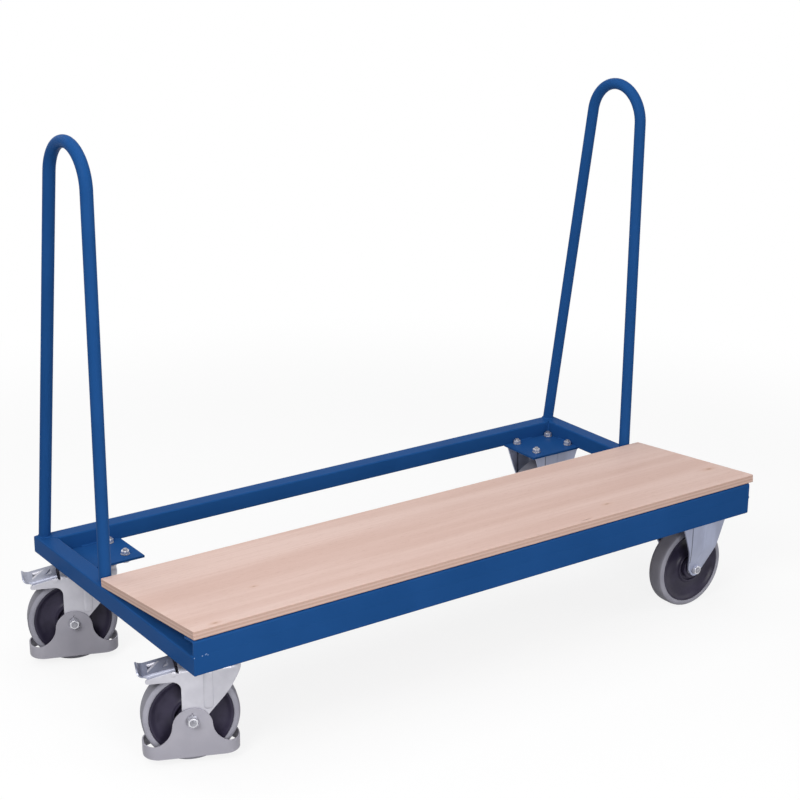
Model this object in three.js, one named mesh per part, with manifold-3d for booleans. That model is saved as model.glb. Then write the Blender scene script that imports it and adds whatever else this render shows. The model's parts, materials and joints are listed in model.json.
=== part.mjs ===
// A cart for sheet goods: a welded frame of square tube with a sloping plywood deck and two bent-tube bows,
// on two braked swivel casters at the left end and two fixed casters at the right end.
// Millimetres: +X runs along the deck, -Y is the loading side, +Z is up, and the wheels stand on z = 0.
import * as THREE from 'three';
import { mergeVertices } from 'three/addons/utils/BufferGeometryUtils.js';
import Module from 'manifold-3d';

const wasm = await Module();
wasm.setup();

// Fits between pieces, and how far a cutting shape runs past what it cuts
const seatGap = 0.3;
const cutMargin = 1;

// Frame of square tube
const frameLength = 1500;
const frameWidth = 735;
const tubeSize = 40;
const tubeWall = 3;
const tubeCornerRadius = 4;

// Plywood deck: its rear edge lies on the frame, its front edge on the riser
const deckDepth = 401;
const deckThickness = 18;
const deckCornerRadius = 3;
const deckInsetLeft = 1.5;
const deckOverhangRight = 12.5;

// Folded riser along the front of the frame
const riserHeight = 37;
const riserThickness = 4;
const riserFlange = 36;
const riserBendRadius = 7;

// Bows that the sheets lean on
const bowHeight = 1213;
const bowTubeDiameter = 26.9;
const bowTubeWall = 2.3;
const bowBendRadius = 86;
const bowRearFootInset = 13.7;
const bowLegClearance = 2.6;

// Wheels
const wheelRadius = 100;
const treadHalfWidth = 15.5;
const tyreHalfWidth = 22.5;
const tyreShoulder = 10;
const tyreThickness = 14;
const tyreWallTaper = 1;
const hubRimHalfWidth = 20.5;
const hubRimThickness = 7;
const hubWebHalfWidth = 15;
const hubDish = 5;
const hubBossRadius = 26;
const hubBossHalfWidth = 28;
const bearingRadius = 16;
const sleeveRadius = 10;
const axleRadius = 6;
const bossClearance = 4;

// Hexagon bolt head, washer and nut on each axle
const hexSides = 6;
const hexAcrossFlats = 19;
const hexHeadHeight = 7.5;
const nutHeight = 10;
const axleTail = 3;
const washerRadius = 12.5;
const washerThickness = 2;

// Caster plates, and the plates in the frame's corners that carry them
const casterInsetX = 105;
const casterInsetY = 94;
const casterPlateLength = 140;
const casterPlateWidth = 110;
const fixedPlateWidth = 122;
const casterPlateThickness = 5;
const casterPlateCorner = 12;
const boltSpacingX = 105;
const boltSpacingY = 80;
const boltSlotLength = 14;
const boltSlotWidth = 11;
const mountPlateThickness = 5;
const mountPlateMargin = 15;

// Swivel heads
const swivelTrail = 59;
const swivelAngles = { front_left: -22.2, rear_left: -20.3 };
const crownClearance = 9.5;
const forkThickness = 4;
const headRise = 4.5;
const raceHeight = 7.4;
const cupDepth = 9;
const skirtMargin = 8.5;
const skirtDepth = 40.5;
const skirtNoseDepth = 11;
const headInset = 2;
const raceOverlap = 2;
const raceBoreClearance = 2;
const kingBoltRadius = 8;
const kingNutRadius = 14;
const kingNutHeight = 9;

// Swivel fork: legs, with arms at the rear that carry the brake pedal
const legEndRadius = 20;
const legFillet = 19;
const armReach = 92;
const armRootReach = 31;
const armEndDrop = 15;
const armDepth = 26.5;
const armEndRadius = 5;
const crownRear = 24;
const ribStart = 26;
const ribWidth = 16;
const ribRise = 2.5;
const ribFoot = 27;
const ribHeadroom = 6;
const ribCorner = 7;

// Plastic foot guard round the wheel
const guardWall = 3.5;
const guardHalfLength = 98.5;
const guardCornerRadius = 34;
const guardGroundClearance = 18;
const guardRingTop = 45.5;
const guardDomeRise = 27;
const guardDomeRadius = 41;
const guardValleyRadius = 46;
const guardRecessRadius = 13.3;
const guardRecessDepth = 1;
const guardPinHoleRadius = 1.6;
const guardPinHoleRise = 16.2;

// Brake pedal of folded sheet with a shoe riveted under it
const pedalPivotReach = 34;
const pedalPivotDrop = 9.5;
const pedalSlope = 12;
const pedalSheet = 3;
const pedalHalfWidth = 30.5;
const pedalTopRise = 8.4;
const pedalInnerEnd = 5;
const pedalLength = 60;
const pedalToeRadius = 13.5;
const pedalToeTurn = 75;
const pedalToeCorner = 17;
const pedalLugRadius = 6.5;
const pedalFlangeDepth = 6;
const pedalRecessDepth = 1.3;
const pedalRecessStart = 11;
const pedalRecessEnd = 49;
const pedalRecessHalfWidth = 20;
const pedalRibWidth = 8;
const pedalPinRadius = 4;
const pedalPinStandout = 1.5;
const shoeStart = 14;
const shoeLength = 18;
const shoeHalfWidth = 16;
const shoeClearance = 7;

// Fixed forks: pressed from one sheet, their legs coming down from the plate to a knee and in to the axle
const fixedLegBend = 14;
const fixedLegKnee = 47;
const fixedLegKneeHalf = 56;
const fixedLegTopHalf = 59;
const fixedLegEndRadius = 17;
const fixedLegKneeReach = 45.5;
const fixedLegTopReach = 68;
const fixedPanelRise = 2;
const fixedPanelFoot = 11;
const fixedPanelKnee = 32;
const fixedPanelTop = 45;

// Facets
const wheelFacets = 28;
const turnedFacets = 14;
const boreFacets = 12;
const pinHoleFacets = 8;
const bendFacets = 10;
const bowSides = 12;
const arcSteps = 4;
const cornerSteps = 2;

// Heights and places that follow from the sizes above
const axleHeight = wheelRadius;
const legInner = hubBossHalfWidth + bossClearance;
const legOuter = legInner + forkThickness;
const crownBottom = 2 * wheelRadius + crownClearance;
const crownTop = crownBottom + forkThickness;
const headTop = crownTop + headRise;
const cupBottom = headTop + raceHeight + 2 * seatGap;
const plateBottom = cupBottom + cupDepth;
const frameBottom = plateBottom + casterPlateThickness;
const frameTop = frameBottom + tubeSize;
const skirtRadius = legOuter + skirtMargin;
const headRadius = skirtRadius - headInset;
const forkFrontReach = swivelTrail + Math.sqrt(skirtRadius ** 2 - legOuter ** 2);
const forkFrontFoot = crownTop - skirtDepth;
const guardInner = legOuter + seatGap;
const guardOuter = guardInner + guardWall;
const deckRearY = deckDepth - frameWidth / 2;
const deckSlope = Math.atan2(riserHeight, deckDepth);
const casterX = frameLength / 2 - casterInsetX;
const casterY = frameWidth / 2 - casterInsetY;
const deckTopRearY = deckRearY + (deckThickness + seatGap) * Math.sin(deckSlope);
const bowFrontY = deckTopRearY + bowLegClearance + bowTubeDiameter / 2;
const bowRearY = frameWidth / 2 - bowRearFootInset;
const bowX = (frameLength - tubeSize) / 2;

const finishes = {
  bluePaint: { color: 0x234e8c, roughness: 0.42, metalness: 0.0 },
  plywood: { color: 0xd9bca8, roughness: 0.7, metalness: 0.0 },
  zinc: { color: 0xc6c8ce, roughness: 0.38, metalness: 0.85 },
  guardPlastic: { color: 0x9fa0a8, roughness: 0.6, metalness: 0.0 },
  tyreRubber: { color: 0x85868c, roughness: 0.75, metalness: 0.0 },
  hubPlastic: { color: 0x2f2d38, roughness: 0.5, metalness: 0.0 },
};
const materials = {};
for (const [name, finish] of Object.entries(finishes)) {
  materials[name] = new THREE.MeshStandardMaterial(finish);
}

// Closed surface with shared corners, as booleans need it
function closed(geometry) {
  const bare = geometry.clone();
  bare.deleteAttribute('normal');
  bare.deleteAttribute('uv');
  return mergeVertices(bare, 1e-4);
}

function toSolid(geometry) {
  const shell = closed(geometry);
  const vertProperties = new Float32Array(shell.attributes.position.array);
  const triVerts = new Uint32Array(shell.index.array);
  return new wasm.Manifold(new wasm.Mesh({ numProp: 3, vertProperties, triVerts }));
}

function toGeometry(solid) {
  const mesh = solid.getMesh();
  const geometry = new THREE.BufferGeometry();
  geometry.setAttribute('position', new THREE.BufferAttribute(mesh.vertProperties, 3));
  geometry.setIndex(new THREE.BufferAttribute(mesh.triVerts, 1));
  return geometry;
}

function join(first, ...others) {
  const sum = others.reduce((solid, other) => solid.add(toSolid(other)), toSolid(first));
  return toGeometry(sum);
}

function cut(body, ...tools) {
  const rest = tools.reduce((solid, tool) => solid.subtract(toSolid(tool)), toSolid(body));
  return toGeometry(rest);
}

function common(first, second) {
  return toGeometry(toSolid(first).intersect(toSolid(second)));
}

// Outline in plan, raised from one height to another
function upright(outline, low, high, curveSegments = arcSteps) {
  const options = { depth: high - low, bevelEnabled: false, curveSegments };
  return new THREE.ExtrudeGeometry(outline, options).translate(0, 0, low);
}

// Outline in side view (x, height), carried across from one y to another
function sideways(outline, from, to, curveSegments = arcSteps) {
  const options = { depth: to - from, bevelEnabled: false, curveSegments };
  return new THREE.ExtrudeGeometry(outline, options).rotateX(Math.PI / 2).translate(0, to, 0);
}

// Outline in end view (y, height), carried along from one x to another
function lengthways(outline, from, to) {
  const options = { depth: to - from, bevelEnabled: false, curveSegments: arcSteps };
  const bar = new THREE.ExtrudeGeometry(outline, options);
  const turn = new THREE.Matrix4().makeBasis(
    new THREE.Vector3(0, 1, 0),
    new THREE.Vector3(0, 0, 1),
    new THREE.Vector3(1, 0, 0),
  );
  return bar.applyMatrix4(turn).translate(from, 0, 0);
}

// Closed profile of (radius, y) turned about the Y axis, with a flat facet at the bottom
function turned(profile, facets) {
  const points = profile.map(([radius, y]) => new THREE.Vector2(radius, y));
  if (THREE.ShapeUtils.area(points) < 0) points.reverse();
  points.push(points[0].clone());
  return new THREE.LatheGeometry(points, facets, Math.PI / facets);
}

// Cylinder along Y between two places
function roundBar(radius, from, to, facets) {
  return new THREE.CylinderGeometry(radius, radius, to - from, facets).translate(0, (from + to) / 2, 0);
}

// Cylinder along Z between two heights
function roundPost(radius, low, high, facets) {
  return new THREE.CylinderGeometry(radius, radius, high - low, facets)
    .rotateX(Math.PI / 2)
    .translate(0, 0, (low + high) / 2);
}

// Rectangle with round corners, about its centre
function roundedRectangle(halfLength, halfWidth, radius) {
  const shape = new THREE.Shape();
  shape.moveTo(halfLength, radius - halfWidth);
  shape.lineTo(halfLength, halfWidth - radius);
  shape.absarc(halfLength - radius, halfWidth - radius, radius, 0, Math.PI / 2);
  shape.lineTo(radius - halfLength, halfWidth);
  shape.absarc(radius - halfLength, halfWidth - radius, radius, Math.PI / 2, Math.PI);
  shape.lineTo(-halfLength, radius - halfWidth);
  shape.absarc(radius - halfLength, radius - halfWidth, radius, Math.PI, 1.5 * Math.PI);
  shape.lineTo(halfLength - radius, -halfWidth);
  shape.absarc(halfLength - radius, radius - halfWidth, radius, 1.5 * Math.PI, 2 * Math.PI);
  return shape;
}

function addPart(parent, name, geometry, material) {
  const mesh = new THREE.Mesh(closed(geometry), material);
  mesh.name = name;
  parent.add(mesh);
}

// Section of the square tube, its outer face at y = 0 and its lower face at z = 0
function tubeSection() {
  const half = tubeSize / 2;
  const outer = roundedRectangle(half, half, tubeCornerRadius).extractPoints(1).shape;
  const bore = roundedRectangle(half - tubeWall, half - tubeWall, tubeCornerRadius - tubeWall / 2);
  const centred = (points) => points.map((point) => point.addScalar(half));
  const section = new THREE.Shape(centred(outer));
  section.holes.push(new THREE.Path(centred(bore.extractPoints(1).shape)));
  return section;
}

// Rail with both ends mitred at 45 degrees, longest along its outer face
function mitredRail(length) {
  const rail = lengthways(tubeSection(), -length / 2, length / 2);
  const place = rail.attributes.position;
  for (let i = 0; i < place.count; i += 1) {
    const end = Math.sign(place.getX(i));
    place.setX(i, end * (length / 2 - place.getY(i) - seatGap));
  }
  return rail;
}

function addFrame(cart) {
  const sides = [
    ['front_rail', frameLength, 0, [0, -frameWidth / 2]],
    ['rear_rail', frameLength, Math.PI, [0, frameWidth / 2]],
    ['left_rail', frameWidth, -Math.PI / 2, [-frameLength / 2, 0]],
    ['right_rail', frameWidth, Math.PI / 2, [frameLength / 2, 0]],
  ];
  for (const [name, length, turn, [x, y]] of sides) {
    const rail = mitredRail(length).rotateZ(turn).translate(x, y, frameBottom);
    addPart(cart, name, rail, materials.bluePaint);
  }
  const reach = frameLength / 2 - tubeSize - seatGap;
  const support = lengthways(tubeSection(), -reach, reach).translate(0, deckRearY - tubeSize, frameBottom);
  addPart(cart, 'deck_support_rail', support, materials.bluePaint);
}

// Angle folded from sheet: its upright stands flush with the frame's front, its flange lies under the deck
function addRiser(cart) {
  const fall = Math.tan(deckSlope);
  const top = (inward) => riserHeight - inward * fall - seatGap;
  const angle = new THREE.Shape();
  angle.moveTo(0, 0);
  angle.lineTo(riserThickness, 0);
  angle.lineTo(riserThickness, top(riserThickness) - riserThickness);
  angle.lineTo(riserFlange, top(riserFlange) - riserThickness);
  angle.lineTo(riserFlange, top(riserFlange));
  angle.lineTo(riserBendRadius, top(riserBendRadius));
  angle.quadraticCurveTo(0, top(0), 0, top(0) - riserBendRadius);
  const riser = lengthways(angle, -frameLength / 2, frameLength / 2).translate(0, -frameWidth / 2, frameTop);
  addPart(cart, 'front_riser', riser, materials.bluePaint);
}

// Plywood board that slopes down from the riser to its rear edge at the bows
function addDeck(cart) {
  const length = frameLength - deckInsetLeft + deckOverhangRight;
  const depth = deckDepth / Math.cos(deckSlope);
  const outline = roundedRectangle(length / 2, depth / 2, deckCornerRadius);
  const middle = (deckOverhangRight + deckInsetLeft) / 2;
  const board = upright(outline, seatGap, deckThickness + seatGap, cornerSteps);
  board.translate(middle, -depth / 2, 0);
  board.rotateX(-deckSlope).translate(0, deckRearY, frameTop);
  addPart(cart, 'deck', board, materials.plywood);
}

// Path of a bow given by chosen stations, so that straight legs need no steps
class BowPath extends THREE.Curve {
  constructor(points, tangents) {
    super();
    this.points = points;
    this.tangents = tangents;
  }

  getSpacedPoints() {
    return this.points;
  }

  getTangentAt(u, target = new THREE.Vector3()) {
    const index = Math.round(u * (this.tangents.length - 1));
    return target.copy(this.tangents[index]);
  }
}

// Round tube: up the front leg, round the bend, and down the rear leg, which leans to touch the bend
function bow() {
  const radius = bowTubeDiameter / 2;
  const centreY = bowFrontY + bowBendRadius;
  const centreZ = bowHeight - radius - bowBendRadius;
  const run = bowRearY - centreY;
  const rise = centreZ - frameTop;
  const lean = Math.atan2(run, rise) - Math.asin(bowBendRadius / Math.hypot(run, rise));
  const points = [];
  const tangents = [];
  const station = (y, z, tangentY, tangentZ) => {
    points.push(new THREE.Vector3(0, y, z));
    tangents.push(new THREE.Vector3(0, tangentY, tangentZ));
  };
  const footTrim = bowTubeDiameter;
  station(bowFrontY, frameTop - footTrim, 0, 1);
  for (let step = 0; step <= bendFacets; step += 1) {
    const turn = (step / bendFacets) * (Math.PI - lean);
    const y = centreY - bowBendRadius * Math.cos(turn);
    const z = centreZ + bowBendRadius * Math.sin(turn);
    station(y, z, Math.sin(turn), Math.cos(turn));
  }
  const past = footTrim * Math.tan(lean);
  station(bowRearY + past, frameTop - footTrim, Math.sin(lean), -Math.cos(lean));
  const ring = new THREE.Shape().absarc(0, 0, radius, 0, 2 * Math.PI);
  ring.holes.push(new THREE.Path().absarc(0, 0, radius - bowTubeWall, 0, 2 * Math.PI, true));
  const steps = points.length - 1;
  const options = { steps, extrudePath: new BowPath(points, tangents), curveSegments: bowSides / 2 };
  const tube = new THREE.ExtrudeGeometry(ring, options);
  const below = new THREE.BoxGeometry(2 * tubeSize, 2 * frameWidth, 2 * footTrim + tubeSize);
  return cut(tube, below.translate(0, 0, frameTop - footTrim - tubeSize / 2));
}

function addBows(cart) {
  addPart(cart, 'left_bow', bow().translate(-bowX, 0, 0), materials.bluePaint);
  addPart(cart, 'right_bow', bow().translate(bowX, 0, 0), materials.bluePaint);
}

const plateHoles = [[-1, -1], [1, -1], [1, 1], [-1, 1]].map(([i, j]) => [
  (i * boltSpacingX) / 2,
  (j * boltSpacingY) / 2,
]);

// Plate welded into a corner of the frame, flush with its underside, that a caster is bolted to
function addMountPlate(cart, name, signX, signY) {
  const nearX = casterInsetX - tubeSize - seatGap;
  const nearY = casterInsetY - tubeSize - seatGap;
  const farX = casterPlateLength / 2 + mountPlateMargin;
  const farY = casterPlateWidth / 2 + mountPlateMargin;
  const corners = [[nearX, nearY], [-farX, nearY], [-farX, -farY], [nearX, -farY]];
  if (signX * signY < 0) corners.reverse();
  const outline = new THREE.Shape(corners.map(([x, y]) => new THREE.Vector2(signX * x, signY * y)));
  for (const [x, y] of plateHoles) {
    outline.holes.push(new THREE.Path().absarc(x, y, boltSlotWidth / 2, 0, 2 * Math.PI, true));
  }
  const plate = upright(outline, frameBottom, frameBottom + mountPlateThickness);
  plate.translate(signX * casterX, signY * casterY, 0);
  addPart(cart, name, plate, materials.bluePaint);
}

// Caster plate with round corners and four slots, flush against the frame's underside
function casterPlate(width) {
  const outline = roundedRectangle(casterPlateLength / 2, width / 2, casterPlateCorner);
  const half = (boltSlotLength - boltSlotWidth) / 2;
  const radius = boltSlotWidth / 2;
  for (const [x, y] of plateHoles) {
    const slot = new THREE.Path();
    slot.absarc(x, y - half, radius, 2 * Math.PI, Math.PI, true);
    slot.absarc(x, y + half, radius, Math.PI, 0, true);
    outline.holes.push(slot);
  }
  return upright(outline, plateBottom, frameBottom, cornerSteps);
}

// Solid rubber tyre: flat tread, bevelled shoulders and near-upright walls
function tyre() {
  const outer = wheelRadius / Math.cos(Math.PI / wheelFacets);
  const inner = wheelRadius - tyreThickness;
  const shoulder = outer - tyreShoulder;
  const half = [
    [inner, tyreHalfWidth - tyreWallTaper],
    [shoulder, tyreHalfWidth],
    [outer - tyreShoulder / 3, (treadHalfWidth + 2 * tyreHalfWidth) / 3],
    [outer, treadHalfWidth],
  ];
  const mirrored = half.map(([radius, y]) => [radius, -y]).reverse();
  return turned([...half, ...mirrored], wheelFacets);
}

// Moulded hub: a rim that the tyre sits on, a dished web and a long boss
function hub() {
  const rim = wheelRadius - tyreThickness - seatGap;
  const rimInner = rim - hubRimThickness;
  const webFoot = hubBossRadius + hubDish;
  const half = [
    [bearingRadius + seatGap, hubBossHalfWidth],
    [hubBossRadius, hubBossHalfWidth],
    [webFoot, hubWebHalfWidth - hubDish],
    [rimInner - hubDish, hubWebHalfWidth],
    [rimInner, hubRimHalfWidth],
    [rim, hubRimHalfWidth],
  ];
  const mirrored = half.map(([radius, y]) => [radius, -y]).reverse();
  return turned([...half, ...mirrored], wheelFacets);
}

// Ring between two radii and two places along Y
function ring(inner, outer, from, to, facets) {
  return turned([[inner, from], [outer, from], [outer, to], [inner, to]], facets);
}

function addWheel(caster, corner) {
  const bearingHalf = hubBossHalfWidth;
  const sleeveHalf = legInner - seatGap;
  const bearing = ring(sleeveRadius + seatGap, bearingRadius, -bearingHalf, bearingHalf, turnedFacets);
  const sleeve = ring(axleRadius + seatGap, sleeveRadius, -sleeveHalf, sleeveHalf, turnedFacets);
  const pieces = [
    ['tyre', tyre(), materials.tyreRubber],
    ['hub', hub(), materials.hubPlastic],
    ['wheel_bearing', bearing, materials.zinc],
    ['axle_sleeve', sleeve, materials.zinc],
  ];
  for (const [name, geometry, material] of pieces) {
    addPart(caster, `${corner}_${name}`, geometry.translate(0, 0, axleHeight), material);
  }
}

// Axle bolt with its head at +Y, and its nut at -Y, each seated on a washer or on the leg
function addAxle(caster, corner, seat) {
  const hexRadius = hexAcrossFlats / (2 * Math.cos(Math.PI / hexSides));
  const flange = seat + seatGap;
  const head = flange + washerThickness;
  const nutEnd = -flange - nutHeight;
  const tail = nutEnd - axleTail;
  const shank = [
    [0, head],
    [washerRadius, head],
    [washerRadius, flange],
    [axleRadius, flange],
    [axleRadius, tail],
    [0, tail],
  ];
  const bolt = join(
    turned(shank, turnedFacets),
    roundBar(hexRadius, head - washerThickness / 2, head + hexHeadHeight, hexSides),
  );
  const nut = cut(
    roundBar(hexRadius, nutEnd, -flange, hexSides),
    roundBar(axleRadius + seatGap, nutEnd - cutMargin, cutMargin - flange, boreFacets),
  );
  addPart(caster, `${corner}_axle_bolt`, bolt.translate(0, 0, axleHeight), materials.zinc);
  addPart(caster, `${corner}_axle_nut`, nut.translate(0, 0, axleHeight), materials.zinc);
}

// Side view of a swivel fork's leg about the axle: round end, slanted front edge, crown and rear arm
function swivelLeg() {
  const drop = forkFrontFoot - axleHeight;
  const slant = Math.atan2(drop, forkFrontReach);
  const touch = slant - Math.acos(legEndRadius / Math.hypot(forkFrontReach, drop));
  const armBottom = crownTop - armDepth;
  const armTop = crownTop - armEndDrop;
  const leg = new THREE.Shape();
  leg.absarc(0, axleHeight, legEndRadius, Math.PI, 2 * Math.PI + touch);
  leg.lineTo(forkFrontReach, forkFrontFoot);
  leg.lineTo(forkFrontReach, crownTop);
  leg.lineTo(-armRootReach, crownTop);
  leg.lineTo(armEndRadius - armReach, armTop);
  leg.quadraticCurveTo(-armReach, armTop, -armReach, armTop - armEndRadius);
  leg.quadraticCurveTo(-armReach, armBottom, 2 * armEndRadius - armReach, armBottom);
  leg.lineTo(-legEndRadius - legFillet, armBottom);
  leg.absarc(-legEndRadius - legFillet, armBottom - legFillet, legFillet, Math.PI / 2, 0, true);
  return leg;
}

// Pressed fork: two legs with an upright rib, a crown, a round skirt whose lower edge rises to the front,
// and the swivel head.
// It is drawn about the axle, with the swivel axis a trail's length in front.
function swivelFork() {
  const spread = Math.asin(legOuter / skirtRadius);
  const crown = new THREE.Shape();
  crown.moveTo(-crownRear, -legOuter);
  crown.absarc(swivelTrail, 0, skirtRadius, -spread, spread);
  crown.lineTo(-crownRear, legOuter);
  const skirt = new THREE.Shape();
  skirt.absarc(swivelTrail, 0, skirtRadius, -spread, spread);
  skirt.absarc(swivelTrail, 0, skirtRadius - forkThickness, spread, -spread, true);
  const nose = swivelTrail + skirtRadius + cutMargin;
  const skirtSide = new THREE.Shape();
  skirtSide.moveTo(swivelTrail, crownTop);
  skirtSide.lineTo(swivelTrail, forkFrontFoot);
  skirtSide.lineTo(forkFrontReach, forkFrontFoot);
  skirtSide.lineTo(nose, crownTop - skirtNoseDepth);
  skirtSide.lineTo(nose, crownTop);
  const ribTop = crownTop - ribHeadroom;
  const ribBottom = axleHeight + ribFoot;
  const rib = roundedRectangle(ribWidth / 2, (ribTop - ribBottom) / 2, ribCorner);
  const ribX = ribStart + ribWidth / 2;
  const ribZ = (ribTop + ribBottom) / 2;
  const ribPlate = (from, to) => sideways(rib, from, to, cornerSteps).translate(ribX, 0, ribZ);
  const solid = join(
    sideways(swivelLeg(), -legOuter, -legInner),
    sideways(swivelLeg(), legInner, legOuter),
    upright(crown, crownBottom, crownTop),
    common(upright(skirt, forkFrontFoot, crownTop), sideways(skirtSide, -skirtRadius, skirtRadius)),
    roundPost(headRadius, crownBottom, headTop, turnedFacets).translate(swivelTrail, 0, 0),
    ribPlate(-legOuter - ribRise, -legInner),
    ribPlate(legInner, legOuter + ribRise),
  );
  const across = legOuter + 2 * ribRise;
  return cut(
    solid,
    roundBar(axleRadius + seatGap, -across, across, boreFacets).translate(0, 0, axleHeight),
    roundBar(pedalPinRadius + seatGap, -across, across, boreFacets)
      .translate(-pedalPivotReach, 0, crownTop - pedalPivotDrop),
    roundPost(kingBoltRadius + seatGap, crownBottom - cutMargin, headTop + cutMargin, boreFacets)
      .translate(swivelTrail, 0, 0),
  );
}

// Side view of the guard: a dome over the axle, tangent to a hollow on each side that runs out
// to the ring's top
function guardOutline() {
  const domeCentre = axleHeight + guardDomeRise - guardDomeRadius;
  const valleyCentre = guardRingTop + guardValleyRadius;
  const reach = guardDomeRadius + guardValleyRadius;
  const valley = Math.sqrt(reach ** 2 - (domeCentre - valleyCentre) ** 2);
  const dip = Math.asin((valleyCentre - domeCentre) / reach);
  const end = guardHalfLength + cutMargin;
  const side = new THREE.Shape();
  side.moveTo(-end, guardGroundClearance);
  side.lineTo(end, guardGroundClearance);
  side.lineTo(end, guardRingTop);
  side.absarc(valley, valleyCentre, guardValleyRadius, 1.5 * Math.PI, Math.PI + dip, true);
  side.absarc(0, domeCentre, guardDomeRadius, dip, Math.PI - dip);
  side.absarc(-valley, valleyCentre, guardValleyRadius, -dip, -Math.PI / 2, true);
  side.lineTo(-end, guardRingTop);
  return side;
}

// Moulded guard: a ring round the wheel whose height follows the outline, its sides lying on the fork's legs
function footGuard() {
  const plan = roundedRectangle(guardHalfLength, guardOuter, guardCornerRadius);
  const inside = roundedRectangle(guardHalfLength - guardWall, guardInner, guardCornerRadius - guardWall);
  plan.holes.push(new THREE.Path(inside.extractPoints(cornerSteps).shape.reverse()));
  const domeTop = axleHeight + guardDomeRise;
  const wall = upright(plan, guardGroundClearance - cutMargin, domeTop + cutMargin, cornerSteps);
  const across = guardOuter + cutMargin;
  const bore = roundBar(axleRadius + seatGap, -across, across, boreFacets);
  const pinHole = roundBar(guardPinHoleRadius, -across, across, pinHoleFacets);
  const recess = (from, to) => roundBar(guardRecessRadius, from, to, turnedFacets);
  return cut(
    common(wall, sideways(guardOutline(), -across, across)),
    bore.translate(0, 0, axleHeight),
    pinHole.translate(0, 0, axleHeight + guardPinHoleRise),
    recess(-across, guardRecessDepth - guardOuter).translate(0, 0, axleHeight),
    recess(guardOuter - guardRecessDepth, across).translate(0, 0, axleHeight),
  );
}

// Places a pedal piece drawn flat about its pivot, x towards the toe, into the fork's frame
function atPivot(geometry) {
  return geometry
    .rotateZ(Math.PI)
    .rotateY(-THREE.MathUtils.degToRad(pedalSlope))
    .translate(-pedalPivotReach, 0, crownTop - pedalPivotDrop);
}

// Pedal of folded sheet: a tread with a toe that curls up and two stamped triangles with a rib between them,
// and side flanges with lugs on the pin
function brakePedal() {
  const turn = THREE.MathUtils.degToRad(pedalToeTurn);
  const under = pedalTopRise - pedalSheet;
  const toeOuter = pedalToeRadius + pedalSheet;
  const curl = pedalTopRise + pedalToeRadius;
  const toeX = pedalLength + toeOuter * Math.sin(turn);
  const flat = -Math.PI / 2;
  const sheet = new THREE.Shape();
  sheet.moveTo(-pedalInnerEnd, pedalTopRise);
  sheet.lineTo(-pedalInnerEnd, under);
  sheet.absarc(pedalLength, curl, toeOuter, flat, flat + turn);
  sheet.absarc(pedalLength, curl, pedalToeRadius, flat + turn, flat, true);
  const middle = (toeX - pedalInnerEnd - pedalToeCorner) / 2;
  const plan = roundedRectangle(toeX - middle, pedalHalfWidth, pedalToeCorner);
  const tread = common(
    sideways(sheet, -pedalHalfWidth, pedalHalfWidth),
    upright(plan, -2 * toeOuter, 2 * toeOuter, cornerSteps).translate(middle, 0, 0),
  );
  const flange = new THREE.Shape();
  flange.moveTo(-pedalLugRadius + cutMargin, under + cutMargin);
  flange.absarc(0, 0, pedalLugRadius, Math.PI, 1.5 * Math.PI);
  flange.lineTo(pedalLength - pedalFlangeDepth, under - pedalFlangeDepth);
  flange.lineTo(pedalLength - cutMargin, under + cutMargin);
  const triangle = new THREE.Shape();
  triangle.moveTo(pedalRecessStart, pedalRecessHalfWidth);
  triangle.lineTo(pedalRecessStart, pedalRibWidth - pedalRecessHalfWidth);
  triangle.lineTo(pedalRecessEnd - pedalRibWidth, pedalRecessHalfWidth);
  const recess = upright(triangle, pedalTopRise - pedalRecessDepth, pedalTopRise + cutMargin);
  const turnedRecess = recess.clone().rotateZ(Math.PI).translate(pedalRecessStart + pedalRecessEnd, 0, 0);
  const folded = join(
    tread,
    sideways(flange, -pedalHalfWidth, pedalSheet - pedalHalfWidth),
    sideways(flange, pedalHalfWidth - pedalSheet, pedalHalfWidth),
  );
  const pedal = cut(
    folded,
    roundBar(pedalPinRadius + seatGap, -2 * pedalHalfWidth, 2 * pedalHalfWidth, boreFacets),
    recess,
    turnedRecess,
  );
  return atPivot(pedal);
}

// Shoe under the pedal, hollowed to lie round the tyre, clear of it until the pedal is pressed
function brakeShoe() {
  const slope = Math.tan(THREE.MathUtils.degToRad(pedalSlope));
  const lean = Math.cos(THREE.MathUtils.degToRad(pedalSlope));
  const under = (x) => {
    const atPin = crownTop - pedalPivotDrop + (pedalTopRise - pedalSheet - seatGap) / lean;
    return atPin + (x + pedalPivotReach) * slope;
  };
  const hollow = wheelRadius + shoeClearance;
  const near = -pedalPivotReach - shoeStart;
  const far = near - shoeLength;
  const angle = (x) => Math.acos(x / hollow);
  const side = new THREE.Shape();
  side.moveTo(near, under(near));
  side.lineTo(far, under(far));
  side.absarc(0, axleHeight, hollow, angle(far), angle(near), true);
  return sideways(side, -shoeHalfWidth, shoeHalfWidth);
}

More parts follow.
